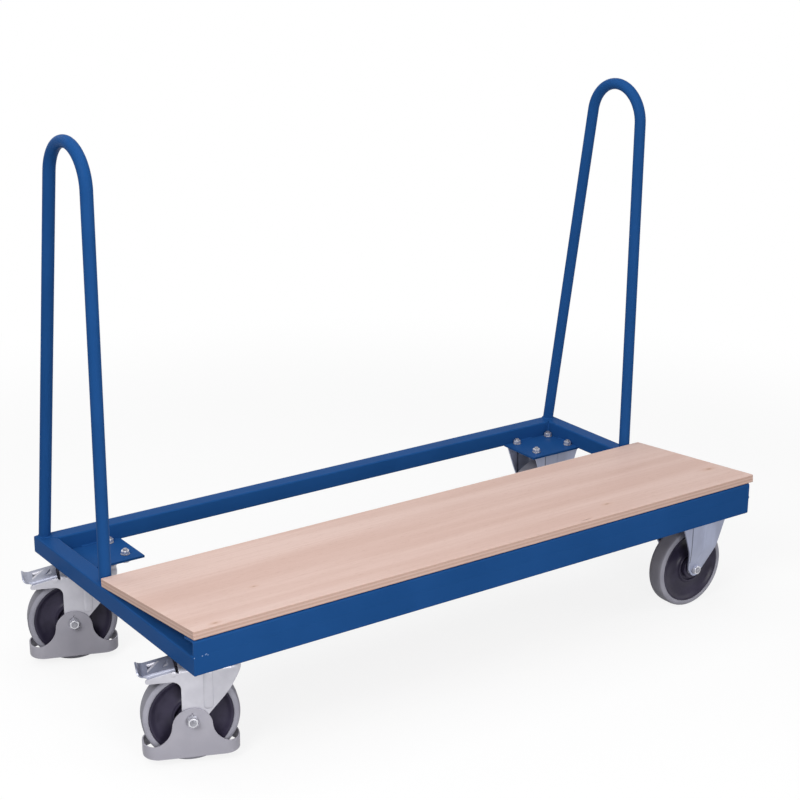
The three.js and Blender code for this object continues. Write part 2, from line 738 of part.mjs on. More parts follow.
// Swivel caster: plate, race and king bolt stay with the frame, the rest turns about the king bolt
function addSwivelCaster(cart, corner, x, y) {
  const head = new THREE.Group();
  head.position.set(x, y, 0);
  cart.add(head);
  const cup = roundPost(headRadius, cupBottom, plateBottom + cutMargin, turnedFacets);
  const plate = cut(
    join(casterPlate(casterPlateWidth), cup),
    roundPost(kingBoltRadius + seatGap, cupBottom - cutMargin, frameBottom + cutMargin, boreFacets),
  );
  addPart(head, `${corner}_top_plate`, plate, materials.zinc);
  const race = ring(
    kingBoltRadius + raceBoreClearance,
    skirtRadius + raceOverlap,
    headTop + seatGap,
    headTop + seatGap + raceHeight,
    turnedFacets,
  ).rotateX(Math.PI / 2);
  addPart(head, `${corner}_swivel_race`, race, materials.zinc);
  const nutTop = crownBottom - seatGap;
  const kingBolt = join(
    roundPost(kingBoltRadius, nutTop - kingNutHeight, frameBottom, turnedFacets),
    roundPost(kingNutRadius, nutTop - kingNutHeight, nutTop, hexSides),
  );
  addPart(head, `${corner}_king_bolt`, kingBolt, materials.zinc);

  const caster = new THREE.Group();
  caster.rotation.z = THREE.MathUtils.degToRad(swivelAngles[corner]);
  head.add(caster);
  const wheelSide = new THREE.Group();
  wheelSide.position.x = -swivelTrail;
  caster.add(wheelSide);
  addPart(wheelSide, `${corner}_fork`, swivelFork(), materials.zinc);
  addPart(wheelSide, `${corner}_foot_guard`, footGuard(), materials.guardPlastic);
  addWheel(wheelSide, corner);
  addAxle(wheelSide, corner, guardOuter - guardRecessDepth);
  addPart(wheelSide, `${corner}_brake_pedal`, brakePedal(), materials.zinc);
  addPart(wheelSide, `${corner}_brake_shoe`, brakeShoe(), materials.hubPlastic);
  const pinHalf = legOuter + pedalPinStandout;
  const pin = roundBar(pedalPinRadius, -pinHalf, pinHalf, boreFacets);
  pin.translate(-pedalPivotReach, 0, crownTop - pedalPivotDrop);
  addPart(wheelSide, `${corner}_pedal_pin`, pin, materials.zinc);
}

// End view of a fixed fork's leg as a bent strip: upright at the axle, out to the knee, up to the plate
function fixedLegStrip(rise) {
  const bend = axleHeight + fixedLegBend;
  const knee = axleHeight + fixedLegKnee;
  const foot = axleHeight - fixedLegEndRadius - cutMargin;
  const top = plateBottom + cutMargin;
  const strip = new THREE.Shape();
  strip.moveTo(legInner, foot);
  strip.lineTo(legOuter + rise, foot);
  strip.lineTo(legOuter + rise, bend);
  strip.lineTo(fixedLegKneeHalf + rise, knee);
  strip.lineTo(fixedLegTopHalf + rise, top);
  strip.lineTo(fixedLegTopHalf - forkThickness, top);
  strip.lineTo(fixedLegKneeHalf - forkThickness, knee);
  strip.lineTo(legInner, bend);
  return strip;
}

// Side view of a fixed fork's leg: round end at the axle, widening to the knee and on to the plate
function fixedLegOutline() {
  const knee = axleHeight + fixedLegKnee;
  const top = plateBottom + cutMargin;
  const slant = Math.atan2(fixedLegKnee, fixedLegKneeReach);
  const touch = slant - Math.acos(fixedLegEndRadius / Math.hypot(fixedLegKneeReach, fixedLegKnee));
  const side = new THREE.Shape();
  side.absarc(0, axleHeight, fixedLegEndRadius, Math.PI - touch, 2 * Math.PI + touch);
  side.lineTo(fixedLegKneeReach, knee);
  side.lineTo(fixedLegTopReach, top);
  side.lineTo(-fixedLegTopReach, top);
  side.lineTo(-fixedLegKneeReach, knee);
  return side;
}

// Raised panel up the middle of a fixed fork's leg
function fixedPanelOutline() {
  const foot = axleHeight + fixedLegEndRadius;
  const knee = axleHeight + fixedLegKnee;
  const top = plateBottom + cutMargin;
  const half = [[fixedPanelFoot, foot], [fixedPanelKnee, knee], [fixedPanelTop, top]];
  const mirrored = half.map(([x, z]) => [-x, z]).reverse();
  return new THREE.Shape([...half, ...mirrored].map(([x, z]) => new THREE.Vector2(x, z)));
}

function fixedFork() {
  const reach = 2 * fixedLegTopReach;
  const legs = [0, Math.PI].flatMap((turn) => {
    const sheet = lengthways(fixedLegStrip(0), -reach, reach);
    const panel = lengthways(fixedLegStrip(fixedPanelRise), -reach, reach);
    return [
      common(sheet, sideways(fixedLegOutline(), 0, reach)).rotateZ(turn),
      common(panel, sideways(fixedPanelOutline(), 0, reach)).rotateZ(turn),
    ];
  });
  return cut(
    join(casterPlate(fixedPlateWidth), ...legs),
    roundBar(axleRadius + seatGap, -reach, reach, boreFacets).translate(0, 0, axleHeight),
  );
}

function addFixedCaster(cart, corner, x, y) {
  const caster = new THREE.Group();
  caster.position.set(x, y, 0);
  cart.add(caster);
  addPart(caster, `${corner}_fork`, fixedFork(), materials.zinc);
  addWheel(caster, corner);
  addAxle(caster, corner, legOuter);
}

const cart = new THREE.Group();
addFrame(cart);
addRiser(cart);
addDeck(cart);
addBows(cart);
for (const [side, signY] of [['front', -1], ['rear', 1]]) {
  addMountPlate(cart, `${side}_left_mount_plate`, -1, signY);
  addMountPlate(cart, `${side}_right_mount_plate`, 1, signY);
  addSwivelCaster(cart, `${side}_left`, -casterX, signY * casterY);
  addFixedCaster(cart, `${side}_right`, casterX, signY * casterY);
}

// The origin lies on the floor, under the middle of the whole cart
const bounds = new THREE.Box3().setFromObject(cart, true);
const middle = bounds.getCenter(new THREE.Vector3());
cart.position.set(-middle.x, -middle.y, -bounds.min.z);
const assembly = new THREE.Group();
assembly.add(cart);

export default assembly;
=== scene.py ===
"""Sheet goods cart: a welded blue frame with a sloping plywood deck and two bows, carried at one end by two
braked swivel casters with foot guards and at the other by two fixed casters. All sizes are in metres."""
import json

import bmesh
import bpy
import numpy as np
from mathutils import Matrix, Vector

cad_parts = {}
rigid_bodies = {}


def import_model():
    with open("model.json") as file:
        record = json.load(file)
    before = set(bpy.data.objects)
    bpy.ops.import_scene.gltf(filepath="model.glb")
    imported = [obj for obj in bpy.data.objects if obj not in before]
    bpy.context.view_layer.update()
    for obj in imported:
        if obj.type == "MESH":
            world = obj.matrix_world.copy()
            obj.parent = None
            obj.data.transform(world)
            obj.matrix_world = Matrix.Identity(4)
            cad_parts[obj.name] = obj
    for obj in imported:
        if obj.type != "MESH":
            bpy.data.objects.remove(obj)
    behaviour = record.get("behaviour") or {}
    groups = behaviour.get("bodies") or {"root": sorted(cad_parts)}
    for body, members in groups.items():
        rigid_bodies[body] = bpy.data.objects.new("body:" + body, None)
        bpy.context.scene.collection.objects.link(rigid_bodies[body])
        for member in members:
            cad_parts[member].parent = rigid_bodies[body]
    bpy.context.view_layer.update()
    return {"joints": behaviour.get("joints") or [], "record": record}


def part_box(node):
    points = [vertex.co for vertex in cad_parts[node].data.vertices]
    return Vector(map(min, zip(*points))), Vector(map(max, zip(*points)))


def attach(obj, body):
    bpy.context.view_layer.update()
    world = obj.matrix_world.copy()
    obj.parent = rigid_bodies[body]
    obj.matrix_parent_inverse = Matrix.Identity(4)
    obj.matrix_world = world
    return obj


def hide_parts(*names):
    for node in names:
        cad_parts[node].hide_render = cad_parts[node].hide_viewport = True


for leftover in list(bpy.data.objects):
    bpy.data.objects.remove(leftover)
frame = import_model()
scene = bpy.context.scene
scene.view_settings.view_transform = "Standard"

# Camera: stands in front of the swivel end, a little above the bows' middle, and looks down along the deck.
# Its place was fitted to the frame's corners, the bow and the wheels in the photograph.
azimuth, elevation, roll = np.radians([-35.36, 18.38, 0.46])
camera_distance = 4.00973
target_height = 0.56399
target_left_of_middle = 0.00926
focal_pixels = 1777.45
picture_width = 800
sensor_width = 36
frame_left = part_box("left_rail")[0].x
frame_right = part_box("right_rail")[1].x
frame_middle = (frame_left + frame_right) / 2
target = np.array([frame_middle - target_left_of_middle, 0, target_height])
ground = np.array([np.sin(azimuth), -np.cos(azimuth), 0])
backward = np.cos(elevation) * ground + np.sin(elevation) * np.array([0, 0, 1])
level = np.array([np.cos(azimuth), np.sin(azimuth), 0])
rise = np.cross(backward, level)
camera_right = np.cos(roll) * level + np.sin(roll) * rise
camera_up = np.cos(roll) * rise - np.sin(roll) * level
lens = bpy.data.cameras.new("photo_view")
lens.sensor_width = sensor_width
lens.lens = focal_pixels * sensor_width / picture_width
camera = bpy.data.objects.new("photo_view", lens)
turned_to_view = Matrix((camera_right, camera_up, backward)).transposed().to_4x4()
camera.matrix_world = Matrix.Translation(target + camera_distance * backward) @ turned_to_view
scene.collection.objects.link(camera)
scene.camera = camera


# Studio: a pale floor that runs into a white background, a broad key lamp at the upper left, a low lamp in
# front, and three weaker lamps that open the shadows at the right, above and behind.
def add_node(tree, kind, values=None, **settings):
    """Add a shader node, set its options, and fill each named input with a value or a link."""
    node = tree.nodes.new(kind)
    for option, setting in settings.items():
        setattr(node, option, setting)
    for name, value in (values or {}).items():
        if isinstance(value, bpy.types.NodeSocket):
            tree.links.new(value, node.inputs[name])
        else:
            node.inputs[name].default_value = value
    return node


def math(tree, operation, *values):
    """One Math node on numbers or sockets."""
    return add_node(tree, "ShaderNodeMath", dict(enumerate(values)), operation=operation).outputs[0]


def background_rays(tree):
    """1 for the rays that show the background itself: camera, mirror and glass rays."""
    rays = add_node(tree, "ShaderNodeLightPath").outputs
    seen = math(tree, "MAXIMUM", rays["Is Camera Ray"], rays["Is Glossy Ray"])
    return math(tree, "MAXIMUM", seen, rays["Is Transmission Ray"])


world_light = 0.15
white = (1, 1, 1, 1)
world = bpy.data.worlds.new("white_studio")
world.use_nodes = True
world.node_tree.nodes.clear()
world_strength = math(world.node_tree, "MULTIPLY_ADD", background_rays(world.node_tree), 1 - world_light, world_light)
sky = add_node(world.node_tree, "ShaderNodeBackground", {"Color": white, "Strength": world_strength})
add_node(world.node_tree, "ShaderNodeOutputWorld", {"Surface": sky.outputs[0]})
scene.world = world

floor_radius = 9.0
floor_facets = 96
floor_grey = 0.35
shadow_share = 0.45
floor_glow = 0.85
fade_start = 1.5
fade_end = 2.8
around = np.linspace(0, 2 * np.pi, floor_facets, endpoint=False)
floor_rim = floor_radius * np.column_stack([np.cos(around), np.sin(around), np.zeros(floor_facets)])
floor_mesh = bpy.data.meshes.new("studio_floor")
floor_mesh.from_pydata(floor_rim.tolist(), [], [tuple(range(floor_facets))])
floor = bpy.data.objects.new("studio_floor", floor_mesh)
scene.collection.objects.link(floor)
floor_paper = bpy.data.materials.new("floor_paper")
floor_paper.use_nodes = True
paper = floor_paper.node_tree
paper.nodes.clear()
floor_place = add_node(paper, "ShaderNodeTexCoord").outputs["Object"]
from_middle = add_node(paper, "ShaderNodeVectorMath", {0: floor_place}, operation="LENGTH").outputs["Value"]
fade = add_node(
    paper,
    "ShaderNodeMapRange",
    {"Value": from_middle, "From Min": fade_start, "From Max": fade_end},
    interpolation_type="SMOOTHSTEP",
).outputs["Result"]
lit_paper = add_node(paper, "ShaderNodeBsdfDiffuse", {"Color": (floor_grey, floor_grey, floor_grey, 1)})
shade_grey = shadow_share * floor_grey
shaded_paper = add_node(paper, "ShaderNodeBsdfDiffuse", {"Color": (shade_grey, shade_grey, shade_grey, 1)})
glow = add_node(paper, "ShaderNodeEmission", {"Color": white, "Strength": floor_glow})
near_paper = add_node(paper, "ShaderNodeAddShader", {0: shaded_paper.outputs[0], 1: glow.outputs[0]})
far_paper = add_node(paper, "ShaderNodeEmission", {"Color": white, "Strength": 1.0})
seen_paper = add_node(
    paper, "ShaderNodeMixShader", {"Fac": fade, 1: near_paper.outputs[0], 2: far_paper.outputs[0]}
)
paper_shader = add_node(
    paper,
    "ShaderNodeMixShader",
    {"Fac": background_rays(paper), 1: lit_paper.outputs[0], 2: seen_paper.outputs[0]},
)
add_node(paper, "ShaderNodeOutputMaterial", {"Surface": paper_shader.outputs[0]})
floor_mesh.materials.append(floor_paper)


def add_lamp(name, place, aim, size, power):
    """Square soft lamp at a place, turned to face the aim."""
    lamp_data = bpy.data.lights.new(name, "AREA")
    lamp_data.size = size
    lamp_data.energy = power
    lamp = bpy.data.objects.new(name, lamp_data)
    facing = (Vector(aim) - Vector(place)).to_track_quat("-Z", "Y").to_matrix().to_4x4()
    lamp.matrix_world = Matrix.Translation(place) @ facing
    scene.collection.objects.link(lamp)


add_lamp("key_lamp", (-3.3, -1.7, 3.0), (-0.3, 0, 0.3), 1.8, 97)
add_lamp("front_lamp", (-0.7, -3.6, 1.0), (-0.2, 0, 0.3), 1.4, 49)
add_lamp("right_lamp", (3.2, -2.2, 2.2), (0, 0, 0.4), 2.0, 22)
add_lamp("top_lamp", (0, 0.2, 3.6), (0, 0, 0.3), 2.5, 44)
add_lamp("rear_lamp", (-1.5, 3.4, 3.0), (0, 0, 0.4), 2.0, 22)


# Frame rails: square steel tube, mitred and welded at the corners, with a fifth tube across under the rear
# edge of the deck. Everything welded is sprayed in one gloss blue.
def grid_patch(points, close_rows=False, close_columns=False):
    """Quads between the neighbours of a grid of points, which may close on itself in either direction."""
    rows, columns = points.shape[:2]
    number = np.arange(rows * columns).reshape(rows, columns)
    if close_rows:
        number = np.vstack([number, number[:1]])
    if close_columns:
        number = np.hstack([number, number[:, :1]])
    quads = np.stack([number[:-1, :-1], number[:-1, 1:], number[1:, 1:], number[1:, :-1]], axis=-1)
    return points.reshape(-1, 3), [quads.reshape(-1, 4)]


def carried(rings):
    """A closed section carried through a row of places, with both ends filled."""
    points, faces = grid_patch(rings, close_columns=True)
    count = rings.shape[1]
    ends = np.array([np.arange(count)[::-1], np.arange(count) + len(points) - count])
    return points, faces + [ends]


def eased(corners, reach, steps=6):
    """Closed outline whose corners are swapped for parabolas. Each leaves its sides at the given reach from
    the corner, or at half a side where the side is short."""
    corners = np.asarray(corners, float)
    reach = np.broadcast_to(reach, len(corners))
    behind = np.roll(corners, 1, axis=0) - corners
    ahead = np.roll(corners, -1, axis=0) - corners
    part_behind = np.minimum(reach / np.linalg.norm(behind, axis=1), 0.5)
    part_ahead = np.minimum(reach / np.linalg.norm(ahead, axis=1), 0.5)
    along = np.linspace(0, 1, steps)[None, :, None]
    start = (corners + part_behind[:, None] * behind)[:, None]
    end = (corners + part_ahead[:, None] * ahead)[:, None]
    curve = (1 - along) ** 2 * start + 2 * along * (1 - along) * corners[:, None] + along**2 * end
    return curve.reshape(-1, corners.shape[1])


def make_piece(name, patches, material, body, nodes=(), crease=35, wall=0.0, edge=0.0):
    """Join patches into one mesh, merge the points they share, turn the faces outward and shade it smooth up
    to the crease angle. A wall thickens a skin inward, and an edge rounds its sharp edges."""
    firsts = np.cumsum([0] + [len(points) for points, faces in patches])
    faces = [face for (_, groups), first in zip(patches, firsts) for group in groups for face in (group + first).tolist()]
    mesh = bpy.data.meshes.new(name)
    mesh.from_pydata(np.concatenate([points for points, _ in patches]).tolist(), [], faces)
    shell = bmesh.new()
    shell.from_mesh(mesh)
    bmesh.ops.remove_doubles(shell, verts=shell.verts, dist=2e-6)
    bmesh.ops.dissolve_degenerate(shell, dist=1e-6, edges=shell.edges)
    bmesh.ops.recalc_face_normals(shell, faces=shell.faces)
    shell.to_mesh(mesh)
    shell.free()
    centres = np.empty(len(mesh.polygons) * 3)
    normals = np.empty(len(mesh.polygons) * 3)
    areas = np.empty(len(mesh.polygons))
    mesh.polygons.foreach_get("center", centres)
    mesh.polygons.foreach_get("normal", normals)
    mesh.polygons.foreach_get("area", areas)
    from_centre = centres.reshape(-1, 3) - np.average(centres.reshape(-1, 3), axis=0, weights=areas)
    if np.sum(areas * np.sum(from_centre * normals.reshape(-1, 3), axis=1)) < 0:
        mesh.flip_normals()
    mesh.shade_smooth()
    mesh.set_sharp_from_angle(angle=np.radians(crease))
    mesh.materials.append(material)
    piece = bpy.data.objects.new(name, mesh)
    scene.collection.objects.link(piece)
    if wall:
        thickness = piece.modifiers.new("wall", "SOLIDIFY")
        thickness.thickness = wall
        thickness.offset = -1
        thickness.use_even_offset = True
        thickness.use_quality_normals = True
    if edge:
        rounding = piece.modifiers.new("edge", "BEVEL")
        rounding.width = edge
        rounding.segments = 2
        rounding.limit_method = "ANGLE"
        rounding.angle_limit = np.radians(crease)
    weighted = piece.modifiers.new("weighted_normals", "WEIGHTED_NORMAL")
    weighted.keep_sharp = True
    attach(piece, body)
    if nodes:
        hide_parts(*nodes)
    return piece


def new_group(name, inputs, outputs):
    """Empty shader node group with the given sockets; each is a name with a socket type and a value."""
    group = bpy.data.node_groups.new(name, "ShaderNodeTree")
    for socket, (kind, value) in inputs.items():
        group.interface.new_socket(socket, in_out="INPUT", socket_type=kind).default_value = value
    for socket, kind in outputs.items():
        group.interface.new_socket(socket, in_out="OUTPUT", socket_type=kind)
    return group


def noise(tree, place, frequency, detail=2.0, seed=(0, 0, 0)):
    """Noise from 0 to 1 at a place, with its own frequency in waves per metre along each axis."""
    spread = add_node(
        tree, "ShaderNodeVectorMath", {0: place, 1: frequency, 2: seed}, operation="MULTIPLY_ADD"
    ).outputs[0]
    settings = {"Vector": spread, "Scale": 1.0, "Detail": detail}
    return add_node(tree, "ShaderNodeTexNoise", settings, normalize=True).outputs["Fac"]


def mixed(tree, share, first, second):
    """Colour that goes from the first to the second by the share."""
    node = add_node(tree, "ShaderNodeMix", {"Factor": share}, data_type="RGBA")
    for index, value in ((6, first), (7, second)):
        if isinstance(value, bpy.types.NodeSocket):
            tree.links.new(value, node.inputs[index])
        else:
            node.inputs[index].default_value = value
    return node.outputs[2]


def ramp(tree, value, low, high, start=0.0, end=1.0):
    """Smooth step of a value from start to end, between the from-limits low and high."""
    limits = {"Value": value, "From Min": low, "From Max": high, "To Min": start, "To Max": end}
    return add_node(tree, "ShaderNodeMapRange", limits, interpolation_type="SMOOTHSTEP").outputs["Result"]


COLOUR, VALUE, VECTOR = "NodeSocketColor", "NodeSocketFloat", "NodeSocketVector"
worked_surface = new_group(
    "worked_surface",
    {
        "Light": (COLOUR, white),
        "Dark": (COLOUR, white),
        "Cloud": (VECTOR, (10, 10, 10)),
        "Grain": (VECTOR, (100, 100, 100)),
        "Smooth": (VALUE, 0.4),
        "Rough": (VALUE, 0.5),
    },
    {"Color": COLOUR, "Roughness": VALUE, "Height": VALUE},
)
given = add_node(worked_surface, "NodeGroupInput").outputs
surface_place = add_node(worked_surface, "ShaderNodeTexCoord").outputs["Object"]
cloud = ramp(worked_surface, noise(worked_surface, surface_place, given["Cloud"], 3.0), 0.3, 0.7)
grain = noise(worked_surface, surface_place, given["Grain"], 2.0, (3, 7, 1))
sheen = math(worked_surface, "MULTIPLY_ADD", math(worked_surface, "ADD", cloud, grain), 0.5, 0)
span = math(worked_surface, "SUBTRACT", given["Rough"], given["Smooth"])
given_out = {
    "Color": mixed(worked_surface, cloud, given["Dark"], given["Light"]),
    "Roughness": math(worked_surface, "MULTIPLY_ADD", sheen, span, given["Smooth"]),
    "Height": grain,
}
add_node(worked_surface, "NodeGroupOutput", given_out)


def srgb(red, green, blue):
    """Linear colour of an 8-bit screen colour."""
    level = np.array([red, green, blue]) / 255
    linear = np.where(level <= 0.04045, level / 12.92, ((level + 0.055) / 1.055) ** 2.4)
    return (*linear.tolist(), 1.0)


def finish(name, light, dark, cloud, grain, smooth, rough, bump, depth, **shader):
    """Material from the worked_surface group: its colour and roughness, and its grain as a bump."""
    material = bpy.data.materials.new(name)
    material.use_nodes = True
    tree = material.node_tree
    tree.nodes.clear()
    group = add_node(
        tree,
        "ShaderNodeGroup",
        node_tree=worked_surface,
    )
    values = {"Light": light, "Dark": dark, "Cloud": cloud, "Grain": grain, "Smooth": smooth, "Rough": rough}
    for socket, value in values.items():
        group.inputs[socket].default_value = value
    relief = add_node(
        tree, "ShaderNodeBump", {"Strength": bump, "Distance": depth, "Height": group.outputs["Height"]}
    )
    surface = add_node(
        tree,
        "ShaderNodeBsdfPrincipled",
        {
            "Base Color": group.outputs["Color"],
            "Roughness": group.outputs["Roughness"],
            "Normal": relief.outputs["Normal"],
            **shader,
        },
    )
    add_node(tree, "ShaderNodeOutputMaterial", {"Surface": surface.outputs[0]})
    return material


blue_paint = finish(
    "blue_paint",
    light=srgb(34, 82, 143),
    dark=srgb(31, 78, 137),
    cloud=(7, 7, 7),
    grain=(420, 420, 420),
    smooth=0.36,
    rough=0.46,
    bump=0.12,
    depth=0.0006,
    **{"Specular IOR Level": 0.02},
)

tube_size = 0.04
tube_corner = 0.004
sharp_corner = 0.0003
frame_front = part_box("front_rail")[0].y
frame_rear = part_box("rear_rail")[1].y
frame_bottom, frame_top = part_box("front_rail")[0].z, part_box("front_rail")[1].z
section_square = tube_size * np.array([(0, 0), (1, 0), (1, 1), (0, 1)])
rail_section = eased(section_square, tube_corner)
front_section = eased(section_square, [tube_corner, tube_corner, tube_corner, sharp_corner])
frame_corners = np.array(
    [(frame_left, frame_front), (frame_right, frame_front), (frame_right, frame_rear), (frame_left, frame_rear)]
)


def mitred_rail(start, end, section):
    """Tube from one frame corner to the next: each point of the section lies inward by its depth, and is cut
    back from both ends by the same depth."""
    along = (end - start) / np.linalg.norm(end - start)
    inward = np.array([-along[1], along[0]])
    depth, height = section[:, :1], section[:, 1:] + frame_bottom
    near = start + depth * (inward + along)
    far = end + depth * (inward - along)
    return carried(np.stack([np.hstack([near, height]), np.hstack([far, height])]))


rail_names = ["front_rail", "right_rail", "rear_rail", "left_rail"]
for index, rail in enumerate(rail_names):
    ends = frame_corners[index], frame_corners[(index + 1) % len(rail_names)]
    section = front_section if rail == "front_rail" else rail_section
    make_piece(rail + "_tube", [mitred_rail(*ends, section)], blue_paint, "frame", [rail])

support_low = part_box("deck_support_rail")[0]
support_ends = np.array([frame_left + tube_size, frame_right - tube_size])
support_rings = np.empty((2, len(rail_section), 3))
support_rings[..., 0] = support_ends[:, None]
support_rings[..., 1:] = rail_section + (support_low.y, support_low.z)
support_patch = carried(support_rings)
make_piece("deck_support_tube", [support_patch], blue_paint, "frame", ["deck_support_rail"])

# Front riser: a folded steel angle welded on the front rail, flush with its face and ground smooth. Its top
# flange slopes to the rear and carries the front edge of the deck.
riser_thickness = 0.004
riser_low, riser_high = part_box("front_riser")
deck_mount = frame["record"]["mounts"][0]
board_normal = np.array(deck_mount["axis"])
board_fall = board_normal[1] / board_normal[2]
flange_depth = riser_high.y - riser_low.y
riser_top = riser_high.z - riser_low.z
riser_corners = [
    (0, 0),
    (riser_thickness, 0),
    (riser_thickness, riser_top - riser_thickness * (1 + board_fall)),
    (flange_depth, riser_top - riser_thickness - flange_depth * board_fall),
    (flange_depth, riser_top - flange_depth * board_fall),
    (0, riser_top),
]
riser_section = eased(riser_corners, [sharp_corner, sharp_corner, 0.003, 0.0008, 0.0008, 0.007])
riser_rings = np.empty((2, len(riser_section), 3))
riser_rings[..., 0] = np.array([frame_left, frame_right])[:, None]
riser_rings[..., 1:] = riser_section + (riser_low.y, riser_low.z)
make_piece("front_riser_sheet", [carried(riser_rings)], blue_paint, "frame", ["front_riser"])

# Bows: round steel tube at each end that the sheets lean on. The front leg stands upright behind the deck,
# the rear leg leans in, and one bend of constant radius joins them.
bow_radius = 0.01345
bend_radius = 0.086
rear_foot_inset = 0.0137
bend_steps = 48
bow_facets = 40
bow_steps = np.linspace(0, 1, bend_steps)


def bow_line(bow):
    """Middle line of a bow in its own upright plane, with the direction across it. It goes up the front leg,
    round the bend, and down the rear leg along the tangent that reaches its foot."""
    low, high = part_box(bow)
    front_y = low.y + bow_radius
    rear_y = frame_rear - rear_foot_inset
    centre_y = front_y + bend_radius
    centre_z = high.z - bow_radius - bend_radius
    run, height = rear_y - centre_y, centre_z - frame_top
    lean = np.arctan2(run, height) - np.arcsin(bend_radius / np.hypot(run, height))
    turn = np.concatenate([[0], bow_steps * (np.pi - lean), [np.pi - lean]])
    y = centre_y - bend_radius * np.cos(turn)
    z = centre_z + bend_radius * np.sin(turn)
    y[[0, -1]] = front_y, rear_y
    z[[0, -1]] = frame_top
    return y, z, turn


bow_angles = np.linspace(0, 2 * np.pi, bow_facets, endpoint=False)
for bow in ("left_bow", "right_bow"):
    middle_x = (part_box(bow)[0].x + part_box(bow)[1].x) / 2
    y, z, turn = bow_line(bow)
    outward = -np.cos(turn)[:, None] * np.cos(bow_angles), np.sin(turn)[:, None] * np.cos(bow_angles)
    rings = np.empty((len(y), bow_facets, 3))
    rings[..., 0] = middle_x + bow_radius * np.sin(bow_angles)
    rings[..., 1] = y[:, None] + bow_radius * outward[0]
    rings[..., 2] = z[:, None] + bow_radius * outward[1]
    foot_slope = np.tan(np.pi - turn[-1])
    foot_drop = rings[-1, :, 2] - frame_top
    rings[-1, :, 2] -= foot_drop
    rings[-1, :, 1] += foot_drop * foot_slope
    make_piece(bow + "_tube", [carried(rings)], blue_paint, "frame", [bow])


# Welds: rippled beads under the paint, round the bows' feet, over the mitres, at the ends of the deck's
# support, inside the riser, and along the caster plates.
bead_pitch = 0.0026
bead_steps_per_ripple = 4
bead_angles = np.linspace(0, np.pi, 9)
ripple_swell = 0.1
ripple_lag = 0.9


def bead(path, side, top, width, height, closed=False):
    """Half-round section carried along a path. Ripples swell it once each pitch, and lag at its middle."""
    step = np.linalg.norm(np.diff(path, axis=0), axis=1)
    length = np.concatenate([[0], np.cumsum(step)])[:, None]
    swell = 1 + ripple_swell * np.sin(2 * np.pi * length / bead_pitch - ripple_lag * np.sin(bead_angles) * np.pi)
    across = (width / 2 * np.cos(bead_angles) * swell)[..., None]
    up = (height * np.sin(bead_angles) * swell)[..., None]
    rings = path[:, None] + across * side[:, None] + up * top[:, None]
    if closed:
        return grid_patch(rings, close_rows=True, close_columns=True)
    return carried(rings)


def straight_bead(start, end, top, width=0.007, height=0.0018):
    """Bead along a straight seam, with its crown towards the top direction."""
    start, end, top = np.array(start), np.array(end), np.array(top) / np.linalg.norm(top)
    length = np.linalg.norm(end - start)
    count = int(length / bead_pitch * bead_steps_per_ripple) + 2
    share = np.linspace(0, 1, count)[:, None]
    side = np.cross(top, (end - start) / length)
    return bead(start + share * (end - start), np.tile(side, (count, 1)), np.tile(top, (count, 1)), width, height)


foot_width = 0.0065
foot_height = 0.0024
foot_steps = 132
foot_angles = np.linspace(0, 2 * np.pi, foot_steps, endpoint=False)
for bow in ("left_bow", "right_bow"):
    middle_x = (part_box(bow)[0].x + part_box(bow)[1].x) / 2
    y, z, turn = bow_line(bow)
    feet = []
    for foot_y, stretch in ((y[0], 1.0), (y[-1], 1 / np.cos(np.pi - turn[-1]))):
        outward = np.column_stack([np.cos(foot_angles), np.sin(foot_angles), np.zeros(foot_steps)])
        seam = (middle_x, foot_y, frame_top) + bow_radius * outward * (1, stretch, 1)
        upward = np.array([0, 0, 1])
        crown = (outward + upward) / np.sqrt(2)
        side = (outward - upward) / np.sqrt(2)
        points, faces = bead(seam, side, crown, foot_width, foot_height, closed=True)
        points[:, 1] = np.minimum(points[:, 1], frame_rear)
        feet.append((points, faces))
    make_piece(bow + "_foot_welds", feet, blue_paint, "frame")

mitre_welds = []
bead_inset = 0.004
for index, corner in enumerate(frame_corners):
    inward = np.sign((frame_middle, 0) - corner)
    outer = corner + bead_inset * inward
    inner = corner + tube_size * inward
    diagonal = np.append(inward, 0)
    mitre_welds.append(straight_bead((*outer, frame_bottom), (*inner, frame_bottom), (0, 0, -1), 0.006, 0.0009))
    mitre_welds.append(
        straight_bead((*inner, frame_bottom + bead_inset), (*inner, frame_top - bead_inset), diagonal, 0.008, 0.003)
    )
    if corner[1] > 0:
        mitre_welds.append(straight_bead((*outer, frame_top), (*inner, frame_top), (0, 0, 1), 0.006, 0.0009))
make_piece("mitre_welds", mitre_welds, blue_paint, "frame")

support_welds = []
support_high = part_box("deck_support_rail")[1]
for seam_x, facing in ((support_ends[0], 1), (support_ends[1], -1)):
    for seam_y, side_y in ((support_low.y, -1), (support_high.y, 1)):
        seam = (seam_x, seam_y, frame_bottom + bead_inset), (seam_x, seam_y, frame_top - bead_inset)
        support_welds.append(straight_bead(*seam, (facing, side_y, 0), 0.007, 0.0026))
    seam = (seam_x, support_low.y, frame_bottom), (seam_x, support_high.y, frame_bottom)
    support_welds.append(straight_bead(*seam, (0, 0, -1), 0.006, 0.001))
make_piece("deck_support_welds", support_welds, blue_paint, "frame")

riser_welds = []
stitch_count = 7
stitch_length = 0.04
seam_y = riser_low.y + riser_thickness
for middle in np.linspace(frame_left + 2 * tube_size, frame_right - 2 * tube_size, stitch_count):
    seam = (middle - stitch_length / 2, seam_y, frame_top), (middle + stitch_length / 2, seam_y, frame_top)
    riser_welds.append(straight_bead(*seam, (0, 1, 1), 0.007, 0.0026))
for end_x, facing in ((frame_left, -1), (frame_right, 1)):
    seam = (end_x, riser_low.y + 0.001, frame_top), (end_x, seam_y + 0.004, frame_top)
    riser_welds.append(straight_bead(*seam, (facing, 0, 0), 0.008, 0.003))
make_piece("riser_welds", riser_welds, blue_paint, "frame")

